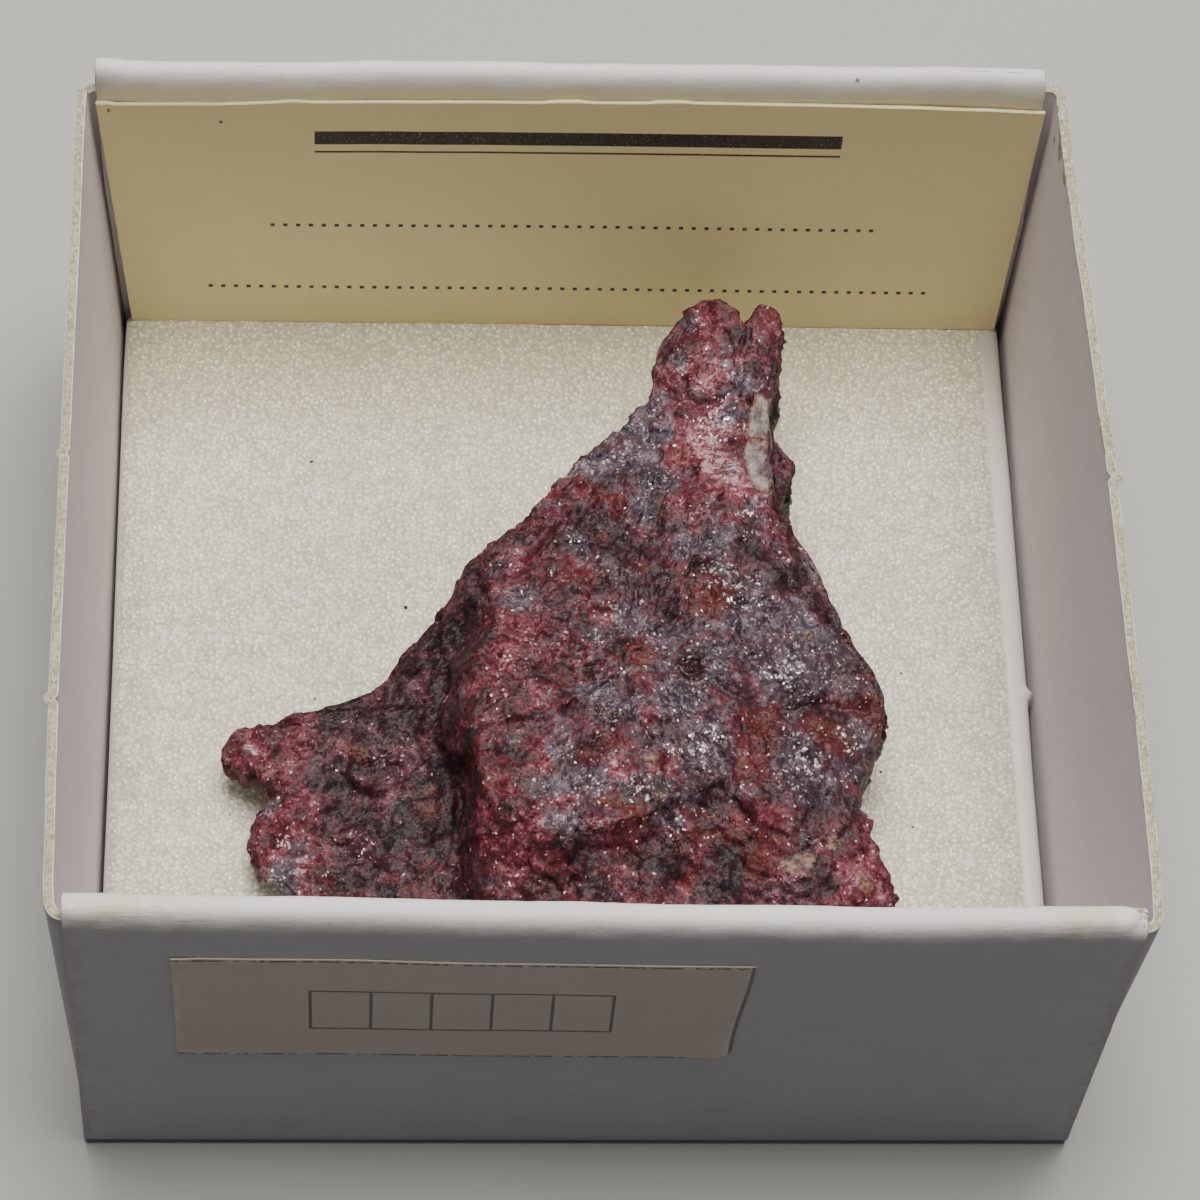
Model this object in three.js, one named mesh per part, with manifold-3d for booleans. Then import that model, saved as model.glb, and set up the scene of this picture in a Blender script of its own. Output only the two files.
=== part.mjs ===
// Cinnabar on matrix: a thin broken slab of ore lying on a foam pad in a collector's
// folded card tray, with a label card behind it and a number sticker on the front wall.
//
// Millimetres, +Z up, X to the right, -Y towards the viewer.
// Origin: middle of the tray's underside, on the surface the tray stands on.

import * as THREE from 'three';
import { mergeVertices } from 'three/addons/utils/BufferGeometryUtils.js';
import Module from 'manifold-3d';

const wasm = await Module();
wasm.setup();

// ---------------------------------------------------------------- driving dimensions

const TRAY = {
  width: 39.9, depth: 39.9,    // outer base, the usual 4 x 4 cm specimen tray
  card: 0.42,                  // thickness of one layer of board
  sideHeight: 18.75,           // single-layer left and right walls
  rollHeight: 19.75,           // front and back walls, folded over and down inside
  rollThickness: 1.18,         // outer panel + corner tab + inner flap
  rollRadius: 0.45             // rounding of the fold along the top
};
// how far the top of each rolled wall leans outwards at each X: both walls are warped
const LEAN = {
  front: [[-19.9, -0.31], [10.7, 0.15], [19.9, 0.03]],
  back: [[-18, 0.07], [-2, 0.3], [8, 0.3], [18, 0.37]]
};
// how far the top of each wall end stands outside the base, from years of handling
const FLARE = {
  rollFrontLeft: -0.13, rollFrontRight: 0.27, rollBackLeft: 0.12, rollBackRight: -0.69,
  sideFrontLeft: 0.6, sideFrontRight: 0.99, sideBackLeft: 0.87, sideBackRight: 0.29
};

const FOAM = { width: 38.9, depth: 37.2, thickness: 2.9, shiftX: -0.05 };
const FOAM_TOP = TRAY.card + FOAM.thickness;                     // height of the pad's top

// hand-cut label: stands on the foam and leans against the back wall
const LABEL = { footLeft: -19.2, footRight: 19.15, topLeft: -19.85, topRight: 19.3,
                height: 15, thickness: 0.2, footY: 17.9, topY: 18.6 };

const STICKER = { left: -15.95, right: 5.85, bottom: 8.55, height: 8.15,
                  thickness: 0.1, cornerRadius: 1.1, taper: 0.35, gap: 0.02 };

// Slab of ore: how far its broken sides round in at the top and underside, and how far its
// lowest point stands off the foam's flat face.
const SLAB = { centre: [1.5, -3.5], topInset: 0.3, underInset: 0.5, lift: 0.04 };
// its outline seen from above, counter-clockwise from the right-hand corner
const OUTLINE = [
  [12.7, -4.3], [12.5, -3.3], [11.4, -1.3], [10.7, 0.3], [10.2, 2.7], [9.3, 3.5],
  [8.8, 5.0], [9.2, 7.5], [8.2, 9.4], [8.6, 11.4], [8.7, 14.0], [7.9, 14.3], [7.3, 13.3],
  [6.8, 14.1], [5.7, 14.6], [4.9, 14.1], [3.6, 12.6], [3.35, 11.0], [3.2, 10.3], [2.6, 9.6],
  [1.1, 8.1], [-0.8, 6.2], [-2.7, 4.3], [-4.2, 2.6], [-5.1, 1.1], [-6.5, -0.3],
  [-7.9, -1.7], [-8.6, -2.5], [-10.7, -3.3], [-11.9, -3.5], [-13.1, -4.0], [-14.3, -4.2],
  [-14.4, -4.9], [-13.3, -6.1], [-12.6, -7.0], [-13.1, -8.1], [-13.4, -9.2], [-13.0, -10.3],
  [-12.1, -11.0], [-10.4, -13.2], [-6.5, -15.2], [-1.5, -14.7], [3.5, -16.2], [8.2, -15.9],
  [11.7, -15.3], [12.5, -12.9], [12.1, -11.6], [11.8, -10.3], [11.2, -9.2], [11.5, -7.1]
];

// ---------------------------------------------------------------- small helpers

const mix = (a, b, t) => a + (b - a) * t;
const clamp01 = (t) => Math.min(1, Math.max(0, t));
const smooth = (t) => { const c = clamp01(t); return c * c * (3 - 2 * c); };
const softMin = (a, b, k) => {
  const h = clamp01(0.5 + 0.5 * (b - a) / k);
  return mix(b, a, h) - k * h * (1 - h);
};
const softMax = (a, b, k) => -softMin(-a, -b, k);

/** Height of a smooth line through [position, value] stations. */
function stationValue(stations, at) {
  if (at <= stations[0][0]) return stations[0][1];
  for (let i = 1; i < stations.length; i++) {
    const [a, va] = stations[i - 1], [b, vb] = stations[i];
    if (at <= b) return mix(va, vb, smooth((at - a) / (b - a)));
  }
  return stations[stations.length - 1][1];
}

/** Closed wall from a profile (up its outer side, down its inner side) swept end to end. */
function sweptWall(profile, steps, place) {
  const n = profile.length, xyz = [], index = [];
  const quad = (a, b, c, d) => index.push(a, b, c, a, c, d);
  for (let k = 0; k <= steps; k++) for (const p of profile) xyz.push(...place(p, k / steps));
  for (let k = 0; k < steps; k++) for (let i = 0; i < n; i++) {
    const a = k * n + i, b = k * n + (i + 1) % n;
    quad(a, b, b + n, a + n);
  }
  const last = steps * n;
  for (let i = 0; i < n / 2 - 1; i++) {
    quad(i, n - 1 - i, n - 2 - i, i + 1);
    quad(last + i, last + i + 1, last + n - 2 - i, last + n - 1 - i);
  }
  return closedGeometry(xyz, index);
}

/** Indexed geometry with its faces turned outwards. */
function closedGeometry(xyz, index) {
  let volume = 0;
  const v = (i) => new THREE.Vector3().fromArray(xyz, 3 * i);
  for (let t = 0; t < index.length; t += 3) {
    volume += v(index[t]).dot(v(index[t + 1]).cross(v(index[t + 2])));
  }
  if (volume < 0) for (let t = 0; t < index.length; t += 3) {
    [index[t], index[t + 1]] = [index[t + 1], index[t]];
  }
  const geometry = new THREE.BufferGeometry();
  geometry.setAttribute('position', new THREE.Float32BufferAttribute(xyz, 3));
  geometry.setIndex(index);
  return geometry;
}

function toSolid(geometry) {
  const bare = geometry.clone();
  bare.deleteAttribute('normal');
  bare.deleteAttribute('uv');
  const merged = mergeVertices(bare, 1e-4);
  return new wasm.Manifold(new wasm.Mesh({
    numProp: 3,
    vertProperties: new Float32Array(merged.attributes.position.array),
    triVerts: new Uint32Array(merged.index.array)
  }));
}

function toGeometry(solid) {
  const mesh = solid.getMesh();
  const geometry = new THREE.BufferGeometry();
  geometry.setAttribute('position', new THREE.BufferAttribute(mesh.vertProperties, 3));
  geometry.setIndex(new THREE.BufferAttribute(mesh.triVerts, 1));
  geometry.computeVertexNormals();
  return geometry;
}

function namedMesh(name, geometry, color, roughness, metalness = 0) {
  const material = new THREE.MeshStandardMaterial({ color, roughness, metalness });
  const mesh = new THREE.Mesh(geometry, material);
  mesh.name = name;
  return mesh;
}

// ---------------------------------------------------------------- card tray

/** Y of a rolled wall's outer face, or of the wall ends that stand between the two. */
function rolledWallY(side, x, z) {
  const lean = stationValue(side < 0 ? LEAN.front : LEAN.back, x);
  return side * (TRAY.depth / 2 + lean * z / TRAY.rollHeight);
}

/** Front (side -1) or back (side +1) wall: its board is folded over along the top. */
function rolledWall(side, flareLeft, flareRight) {
  const { rollHeight: h, rollThickness: t, rollRadius: r } = TRAY;
  const arc = [0, 30, 60, 90].map((a) => [r - r * Math.cos(a * Math.PI / 180),
                                          h - r + r * Math.sin(a * Math.PI / 180)]);
  const outer = [[0, 0], [0, 5], [0, 10], [0, 15], ...arc];      // [depth into the tray, z]
  const inner = outer.map(([depth, z]) => [t - depth, z]).reverse();
  return sweptWall([...outer, ...inner], 8, ([depth, z], along) => {
    const left = -TRAY.width / 2 - flareLeft * z / h;
    const right = TRAY.width / 2 + flareRight * z / h;
    const x = mix(left, right, along);
    return [x, rolledWallY(side, x, z) - side * depth, z];
  });
}

/** Left (side -1) or right (side +1) wall: one layer of board, twisted by its flare. */
function sideWall(side, flareFront, flareBack) {
  const { sideHeight: h, card } = TRAY;
  const outer = [[0, 0], [0, 6], [0, 12], [0, h]];               // [depth into the tray, z]
  const inner = outer.map(([depth, z]) => [card - depth, z]).reverse();
  return sweptWall([...outer, ...inner], 4, ([depth, z], along) => {
    const x = side * (TRAY.width / 2 - depth + mix(flareFront, flareBack, along) * z / h);
    const front = rolledWallY(-1, x, z) + 0.15, back = rolledWallY(+1, x, z) - 0.15;
    return [x, mix(front, back, along), z];
  });
}

function cardTray() {
  const base = new THREE.BoxGeometry(TRAY.width, TRAY.depth, TRAY.card);
  base.translate(0, 0, TRAY.card / 2);
  const f = FLARE;
  const walls = [
    rolledWall(-1, f.rollFrontLeft, f.rollFrontRight),
    rolledWall(+1, f.rollBackLeft, f.rollBackRight),
    sideWall(-1, f.sideFrontLeft, f.sideBackLeft),
    sideWall(+1, f.sideFrontRight, f.sideBackRight)
  ];
  let tray = toSolid(base);
  for (const wall of walls) tray = tray.add(toSolid(wall));
  return namedMesh('card_tray', toGeometry(tray), 0xe9e8e6, 0.85);
}

// ---------------------------------------------------------------- what lies in the tray

function foamPad() {
  const pad = new THREE.BoxGeometry(FOAM.width, FOAM.depth, FOAM.thickness);
  pad.translate(FOAM.shiftX, 0, TRAY.card + FOAM.thickness / 2);
  return namedMesh('foam_pad', pad, 0xd9d5ca, 0.7);
}

function labelCard() {
  const { footLeft, footRight, topLeft, topRight, height, thickness, footY, topY } = LABEL;
  const outline = new THREE.Shape();
  outline.moveTo(footLeft, 0);
  outline.lineTo(footRight, 0);
  outline.lineTo(topRight, height);
  outline.lineTo(topLeft, height);
  outline.closePath();
  const card = new THREE.ExtrudeGeometry(outline, { depth: thickness, bevelEnabled: false });
  card.translate(0, 0, -thickness);
  card.rotateX(Math.PI / 2);                                     // stands up, front face at Y = 0
  const mesh = namedMesh('label_card', card, 0xd8cba0, 0.75);
  const lean = Math.asin((topY - footY) / height);
  mesh.rotation.x = -lean;
  mesh.position.set(0, footY, FOAM_TOP + 0.02 + thickness * Math.sin(lean));
  return mesh;
}

/** Thin sticker that follows the front wall's warp, the same small gap off it all over. */
function numberSticker() {
  const { left, right, bottom, height, taper, cornerRadius: r, thickness, gap } = STICKER;
  const rises = [0, 0.04 * r, 0.16 * r, 0.42 * r, r, 4.5, height];
  const rightEdge = (rise) => {
    const round = Math.max(0, 1 - rise / r);                     // 1 at the foot, 0 above the corner
    return right - taper * (1 - rise / height) - r * (1 - Math.sqrt(1 - round * round));
  };
  const columns = 6, wide = columns + 1, layer = rises.length * wide;
  const xyz = [], index = [];
  const quad = (a, b, c, d) => index.push(a, b, c, a, c, d);
  for (const off of [gap, gap + thickness]) for (const rise of rises) {
    for (let i = 0; i <= columns; i++) {
      const x = mix(left, rightEdge(rise), i / columns), z = bottom + rise;
      xyz.push(x, rolledWallY(-1, x, z) - off, z);
    }
  }
  for (let row = 0; row < rises.length - 1; row++) for (let i = 0; i < columns; i++) {
    const a = row * wide + i;
    quad(a, a + wide, a + wide + 1, a + 1);
    quad(layer + a, layer + a + 1, layer + a + wide + 1, layer + a + wide);
  }
  for (let i = 0; i < columns; i++) {                            // foot and head of the sheet
    const head = layer - wide + i;
    quad(i, i + 1, layer + i + 1, layer + i);
    quad(head + 1, head, layer + head, layer + head + 1);
  }
  for (let a = 0; a < layer - wide; a += wide) {                 // left and right edges
    quad(a + wide, a, layer + a, layer + a + wide);
    quad(a + columns, a + columns + wide, layer + a + columns + wide, layer + a + columns);
  }
  const paper = closedGeometry(xyz, index);
  paper.computeVertexNormals();
  return namedMesh('number_sticker', paper, 0xe2d6c0, 0.6);
}

// ---------------------------------------------------------------- slab of ore

// Broken faces of the top, each a plane: height at a point, and rise per mm in X and Y.
const FACES = {
  plate: { at: [1, -3], height: 10.3, rise: [-0.03, -0.03] },    // broad sparkling face
  right: { at: [8, -3], height: 9.9, rise: [-0.36, 0.02] },      // falls to the right-hand edge
  back: { at: [2, 4], height: 10.1, rise: [0.12, -0.16] },       // falls to the back edge
  lip: { at: [-4.6, -9.4], height: 10.4, rise: [0.84, 1.35] },   // steep, under the plate's corner
  front: { at: [4, -11], height: 8.9, rise: [-0.06, 0.42] },     // below the arched crease
  shelf: { at: [-9, -6], height: 6.5, rise: [0.12, 0.14] },      // low left-hand shelf
  flank: { at: [-5, 0], height: 8.9, rise: [0.3, 0.42] }         // dark hollow behind the shelf
};
// edge between the low shelf and the plate: X of the edge at each Y
const STEP_X = [[-16, -4.4], [-9.4, -4.5], [-8, -4.6], [-6.1, -5.2], [-3.1, -4.9], [0, -4.3], [2.8, -4.0]];
// arched crease in front of the plate: Y of the crease at each X
const CREASE_Y = [[-1.2, -14], [-0.2, -11.2], [2, -10.9], [3.8, -9.9], [5.2, -9.2], [6.7, -10.1],
                  [9.1, -10.8], [12, -11.4]];

function facePlane({ at, height, rise }, x, y) {
  return height + rise[0] * (x - at[0]) + rise[1] * (y - at[1]);
}

/** Height of the slab's upper surface above the table. */
function slabTop(x, y) {
  const F = FACES;
  const neck = 0.7 * Math.exp(-(((y - 9.2) / 1.3) ** 2));         // saddle behind the thumb
  let plate = softMin(facePlane(F.plate, x, y), facePlane(F.right, x, y), 0.6);
  plate = softMin(plate, facePlane(F.back, x, y) + 1.1 * smooth((y - 8.5) / 3), 0.8) - neck;
  const shelf = softMax(facePlane(F.shelf, x, y), facePlane(F.flank, x, y), 0.8);
  let raised = softMin(plate, facePlane(F.lip, x, y), 0.3);
  const crease = stationValue(CREASE_Y, x);
  const inFront = smooth((crease - y) / 0.5 + 0.5) * smooth((x + 0.9) / 0.9);
  raised = mix(raised, facePlane(F.front, x, y), inFront);
  raised = softMax(raised, facePlane(F.shelf, x, y) - 0.2, 0.4);
  const step = stationValue(STEP_X, y);
  const onPlate = smooth((x - step) / 0.7 + 0.5);
  const crack = 0.8 * Math.exp(-(((x - step + 0.35) / 0.35) ** 2)) * smooth((-y - 4) / 2);
  const low = mix(softMin(shelf, plate, 0.4), plate, smooth((y - 0.8) / 2));
  return mix(low, raised, onPlate) - crack;
}

/** Height of the underside: near the foam in the middle, lifted towards the thin edges. */
function slabUnder(x, y) {
  const left = 0.13 * Math.max(0, -x - 5.5), back = 0.16 * Math.max(0, y - 5);
  const right = 0.18 * Math.max(0, x - 7.5), front = 0.16 * Math.max(0, -y - 11);
  return FOAM_TOP + SLAB.lift + left + back + right + front;
}

/** A unit sphere's vertices, remade as the slab: upper face, broken side, underside. */
function slabOfOre() {
  const ball = new THREE.SphereGeometry(1, 96, 40);
  const outline = new THREE.CatmullRomCurve3(
    OUTLINE.map(([x, y]) => new THREE.Vector3(x, y, 0)), true, 'centripetal');
  outline.arcLengthDivisions = 1200;
  const centre = new THREE.Vector3(...SLAB.centre, 0);
  const { position: p, uv } = ball.attributes;
  for (let i = 0; i < p.count; i++) {
    const s = 1 - uv.getY(i);                                    // 0 middle of the top .. 1 underside
    const top = clamp01(s / 0.6), side = clamp01((s - 0.6) / 0.15), under = clamp01((s - 0.75) / 0.25);
    const spoke = outline.getPointAt(((uv.getX(i) % 1) + 1) % 1).sub(centre);
    const R = spoke.length(), { topInset, underInset } = SLAB;
    const reach = s <= 0.6 ? (R - topInset) * top
      : s <= 0.75 ? R - mix(topInset, underInset, side) * Math.abs(1 - 2 * side) ** 1.5
      : (R - underInset) * (1 - under);
    const { x, y } = spoke.multiplyScalar(reach / R).add(centre);
    const round = 0.3 * smooth((top - 0.9) / 0.1);
    const z = s <= 0.75 ? mix(slabTop(x, y) - round, slabUnder(x, y), smooth(side)) : slabUnder(x, y);
    p.setXYZ(i, x, y, z);
  }
  ball.deleteAttribute('normal');
  ball.deleteAttribute('uv');
  const merged = mergeVertices(ball, 1e-4);
  const solid = closedGeometry([...merged.attributes.position.array], [...merged.index.array]);
  solid.computeVertexNormals();
  return namedMesh('cinnabar_specimen', solid, 0x7a3038, 0.45, 0.15);
}

// ---------------------------------------------------------------- whole object

const specimenBox = new THREE.Group();
specimenBox.name = 'cinnabar_on_matrix';
specimenBox.add(cardTray(), foamPad(), labelCard(), numberSticker(), slabOfOre());

export default specimenBox;
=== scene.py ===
import math

import bpy
import numpy as np
from mathutils import Matrix, Vector


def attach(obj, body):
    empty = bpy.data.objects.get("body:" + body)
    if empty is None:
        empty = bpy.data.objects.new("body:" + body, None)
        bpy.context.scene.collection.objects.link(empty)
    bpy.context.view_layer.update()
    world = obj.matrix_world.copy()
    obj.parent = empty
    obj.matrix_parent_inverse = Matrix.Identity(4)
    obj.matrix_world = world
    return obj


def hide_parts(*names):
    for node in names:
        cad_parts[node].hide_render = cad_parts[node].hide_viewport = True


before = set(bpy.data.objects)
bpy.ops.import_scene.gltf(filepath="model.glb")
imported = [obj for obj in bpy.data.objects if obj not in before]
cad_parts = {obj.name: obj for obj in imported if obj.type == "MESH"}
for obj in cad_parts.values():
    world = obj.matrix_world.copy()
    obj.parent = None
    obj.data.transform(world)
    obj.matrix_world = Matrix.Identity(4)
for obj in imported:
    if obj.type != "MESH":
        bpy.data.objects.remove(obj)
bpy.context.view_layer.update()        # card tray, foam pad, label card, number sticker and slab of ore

# Cinnabar on matrix: a broken slab of ore on a foam pad in a folded card tray.
# Shape functions work in millimetres, +Z up, -Y towards the viewer; meshes are in metres.
MM = 0.001
FOAM_TOP = 3.32

# ------------------------------------------------------------------ small arithmetic


def smooth(t):
    """0 below 0, 1 above 1, and 3t^2 - 2t^3 in between."""
    t = np.clip(t, 0, 1)
    return t * t * (3 - 2 * t)


def mix(a, b, t):
    return a + (b - a) * t


def joined(*parts):
    """Arrays or numbers, spread over one grid, as the last axis of one array: x, y and z
    become points."""
    return np.stack(np.broadcast_arrays(*parts), -1)


def soft_min(a, b, k):
    """The lower of a and b, rounded where they cross, over a height of k."""
    h = np.clip(0.5 + 0.5 * (b - a) / k, 0, 1)
    return mix(b, a, h) - k * h * (1 - h)


def soft_max(a, b, k):
    return -soft_min(-a, -b, k)


def station_value(stations, at):
    """A smooth line through (position, value) stations, level past both ends."""
    place, value = np.array(stations, float).T
    at = np.clip(at, place[0], place[-1])
    i = np.clip(np.searchsorted(place, at) - 1, 0, len(place) - 2)
    return mix(value[i], value[i + 1], smooth((at - place[i]) / (place[i + 1] - place[i])))


def bump_at(at, centre, width):
    """1 at the centre, falling off as a bell of this width."""
    return np.exp(-(((at - centre) / width) ** 2))


def cut_spacing(low, high, count, first=0.04, crowd=0.0):
    """Grid lines from low to high with one line close inside each cut edge, which keeps
    the edge crisp; crowd from 0 to 1 draws the others towards the ends."""
    t = np.linspace(0, 1, count - 2)
    t = t - crowd * np.sin(2 * np.pi * t) / (2 * np.pi)
    inner = low + first + (high - low - 2 * first) * t
    return np.concatenate([[low], inner, [high]])


# ------------------------------------------------------------------ repeatable unevenness


def cell_number(cells, seed):
    """A repeatable number from 0 to 1 for each whole-numbered cell: its three numbers and
    the seed are multiplied by large odd numbers, folded together and stirred twice."""
    c = (np.asarray(cells, np.int64) + 100000).astype(np.uint64)
    n = c[..., 0] * np.uint64(73856093) ^ c[..., 1] * np.uint64(19349663)
    n = n ^ c[..., 2] * np.uint64(83492791) ^ np.uint64(seed * 2654435761 % 2**32)
    n = n & np.uint64(0xFFFFFFFF)
    for shift, factor in ((15, 2246822519), (13, 3266489917)):
        n = (n ^ (n >> np.uint64(shift))) * np.uint64(factor) & np.uint64(0xFFFFFFFF)
    return (n ^ (n >> np.uint64(16))).astype(float) / 0xFFFFFFFF


def lumps(points, size, seed):
    """Soft unevenness from -1 to 1: random heights at the corners of cells of this size,
    blended smoothly between the eight corners round each point."""
    at = points / size
    base = np.floor(at).astype(np.int64)
    t = smooth(at - base)
    total = 0.0
    for corner in np.ndindex(2, 2, 2):
        weight = np.prod(np.where(np.array(corner, bool), t, 1 - t), axis=-1)
        total = total + weight * cell_number(base + np.array(corner), seed)
    return 2 * total - 1


def facets(points, size, seed):
    """Broken-grain relief from about -1 to 1: each point belongs to the nearest of one
    random grain centre per cell, and lies on that grain's own tilted plane."""
    at = points / size
    base = np.floor(at).astype(np.int64)
    nearest = np.full(points.shape[:-1], np.inf)
    relief = np.zeros(points.shape[:-1])
    for step in np.ndindex(3, 3, 3):
        cell = base + np.array(step) - 1
        draw = [cell_number(cell, seed + k) for k in range(7)]
        away = at - cell - joined(*draw[:3])
        distance = (away**2).sum(-1)
        tilted = (away * (joined(*draw[3:6]) * 2 - 1)).sum(-1) + draw[6] - 0.5
        closer = distance < nearest
        relief = np.where(closer, tilted, relief)
        nearest = np.where(closer, distance, nearest)
    return relief


# ------------------------------------------------------------------ meshes


def unit(vectors):
    return vectors / np.maximum(np.linalg.norm(vectors, axis=-1, keepdims=True), 1e-12)


def grid_normals(grid, closed=False):
    """Unit normals of a grid of points: row direction crossed with column direction, each
    the difference of neighbours; closed joins the last column to the first."""
    along = np.gradient(grid, axis=0)
    if closed:
        across = np.roll(grid, -1, axis=1) - np.roll(grid, 1, axis=1)
    else:
        across = np.gradient(grid, axis=1)
    return unit(np.cross(along, across))


def quads(rows, columns, closed=False):
    """Four-cornered faces between neighbouring rows and columns of a numbered grid."""
    number = np.arange(rows * columns).reshape(rows, columns)
    if closed:
        number = np.concatenate([number, number[:, :1]], axis=1)
    corners = number[:-1, :-1], number[1:, :-1], number[1:, 1:], number[:-1, 1:]
    return joined(*corners).reshape(-1, 4)


def make_piece(name, points, faces, material, marks=None):
    """A smooth-shaded mesh in the tray's frame from points in millimetres. marks are
    numbers, one per point, that the material reads by name."""
    mesh = bpy.data.meshes.new(name)
    mesh.from_pydata((points * MM).tolist(), [], [list(f) for f in faces])
    for mark, values in (marks or {}).items():
        layer = mesh.attributes.new(mark, "FLOAT", "POINT")
        layer.data.foreach_set("value", np.asarray(values, np.float32).ravel())
    mesh.shade_smooth()
    mesh.materials.append(material)
    made = bpy.data.objects.new(name, mesh)
    bpy.context.scene.collection.objects.link(made)
    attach(made, "root")
    return made


def thick_sheet(middle, half, rim):
    """A closed sheet round a grid of middle points. Each face is the grid moved half a
    thickness along its normal. The rim joins the faces round the four cut edges: pairs of
    (across, out), across from 1 on the outer face to -1 on the inner one, out the distance
    past the grid's edge. Gives points, faces, across, and distance to the nearest edge."""
    rows, columns = middle.shape[:2]
    normal = grid_normals(middle)
    out = np.zeros_like(middle)
    out[0] += unit(middle[0] - middle[1])
    out[-1] += unit(middle[-1] - middle[-2])
    out[:, 0] += unit(middle[:, 0] - middle[:, 1])
    out[:, -1] += unit(middle[:, -1] - middle[:, -2])
    out = unit(out)
    number = np.arange(rows * columns).reshape(rows, columns)
    border = np.concatenate(
        [number[0, :-1], number[:-1, -1], number[-1, :0:-1], number[:0:-1, 0]]
    )
    flat, flat_normal, flat_out = (a.reshape(-1, 3) for a in (middle, normal, out))
    layers = [flat + half * flat_normal, flat - half * flat_normal]
    across = [np.ones(len(flat)), -np.ones(len(flat))]
    rings = [border]
    for share, past in rim[1:-1]:
        rings.append(2 * len(flat) + (len(rings) - 1) * len(border) + np.arange(len(border)))
        layers.append(
            flat[border] + share * half * flat_normal[border] + past * flat_out[border]
        )
        across.append(np.full(len(border), float(share)))
    rings.append(border + len(flat))
    outer = quads(rows, columns)
    faces = [outer, outer[:, ::-1] + len(flat)]
    for ring, after in zip(rings, rings[1:]):
        faces.append(joined(ring, np.roll(ring, -1), np.roll(after, -1), after))
    down = np.cumsum(np.linalg.norm(np.diff(middle, axis=0, prepend=middle[:1]), axis=-1), 0)
    over = np.cumsum(np.linalg.norm(np.diff(middle, axis=1, prepend=middle[:, :1]), axis=-1), 1)
    edge = np.minimum(
        np.minimum(down, down[-1:] - down), np.minimum(over, over[:, -1:] - over)
    ).ravel()
    edges = np.concatenate([edge, edge, np.zeros((len(rim) - 2) * len(border))])
    return np.concatenate(layers), np.concatenate(faces), np.concatenate(across), edges


# ------------------------------------------------------------------ material wiring


class Signal:
    """A node's output. Its sum or product with a number or another signal is a Math node
    in the same tree, and gives that node's output."""

    def __init__(self, socket):
        self.socket = socket

    def __add__(self, other):
        return Wires(self.socket.id_data).math("ADD", self, other)

    def __radd__(self, other):
        return Wires(self.socket.id_data).math("ADD", other, self)

    def __mul__(self, other):
        return Wires(self.socket.id_data).math("MULTIPLY", self, other)


def swing(value, amount):
    """A value from 0 to 1, turned to run this amount about 0."""
    return (value + -0.5) * amount


class Wires:
    """Adds nodes to one node tree. Each method gives back a signal that feeds the next;
    an input may be a number, a colour or such a signal. Sizes are in millimetres."""

    def __init__(self, tree):
        self.tree = tree

    def dress(self, node, inputs):
        for name, value in inputs.items():
            socket = node.inputs[name]
            if isinstance(value, Signal):
                self.tree.links.new(value.socket, socket)
            else:
                socket.default_value = (*value, 1) if socket.type == "RGBA" else value

    def new_node(self, kind, inputs, **settings):
        made = self.tree.nodes.new("ShaderNode" + kind)
        for name, value in settings.items():
            setattr(made, name, value)
        self.dress(made, inputs)
        return made

    def node(self, kind, inputs, output=0, **settings):
        return Signal(self.new_node(kind, inputs, **settings).outputs[output])

    def group(self, tree, inputs):
        made = self.new_node("Group", {}, node_tree=tree)
        self.dress(made, inputs)
        return {socket.name: Signal(socket) for socket in made.outputs}

    def math(self, operation, a, b=0.0):
        return self.node("Math", {0: a, 1: b}, operation=operation)

    def larger(self, a, b):
        return self.math("MAXIMUM", a, b)

    def vector(self, operation, a, b):
        return self.node("VectorMath", {0: a, 1: b}, operation=operation)

    def scaled(self, a, size):
        return self.node("VectorMath", {0: a, 3: size}, operation="SCALE")

    def centred(self, a):
        return self.vector("SUBTRACT", a, (0.5, 0.5, 0.5))

    def warped(self, vector, size, roughness, reach):
        """A place pushed about by noise of this size, by up to half of reach each way."""
        push = self.scaled(self.centred(self.noise(vector, size, 2, roughness, 1)), reach * MM)
        return self.vector("ADD", vector, push)

    def step(self, value, low, high, start=0.0, end=1.0):
        """A smooth rise of the output from start to end as value goes from low to high."""
        inputs = {"Value": value, "From Min": low, "From Max": high,
                  "To Min": start, "To Max": end}
        return self.node("MapRange", inputs, interpolation_type="SMOOTHSTEP")

    def fall(self, value, low, high):
        return self.step(value, low, high, 1.0, 0.0)

    def blend(self, mask, a, b, kind="MIX"):
        return self.node("Mix", {0: mask, 6: a, 7: b}, 2, data_type="RGBA", blend_type=kind)

    def ramp(self, value, stops):
        made = self.new_node("ValToRGB", {0: value})
        points = made.color_ramp.elements
        while len(points) < len(stops):
            points.new(0.5)
        for point, (place, shade) in zip(points, stops):
            point.position, point.color = place, (*shade, 1)
        return Signal(made.outputs[0])

    def noise(self, vector, size, detail=2.0, roughness=0.5, output=0):
        inputs = {"Vector": vector, "Scale": 1 / (size * MM), "Detail": detail,
                  "Roughness": roughness}
        return self.node("TexNoise", inputs, output)

    def cells(self, vector, size, output="Color"):
        return self.node("TexVoronoi", {"Vector": vector, "Scale": 1 / (size * MM)}, output)

    def parts(self, vector):
        return [Signal(part) for part in self.new_node("SeparateXYZ", {0: vector}).outputs]

    def mark(self, name):
        return self.node("Attribute", {}, "Fac", attribute_name=name)

    def place(self):
        return self.node("TexCoord", {}, "Object")

    def bumped(self, height, distance):
        return self.node("Bump", {"Height": height, "Distance": distance * MM})


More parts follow.
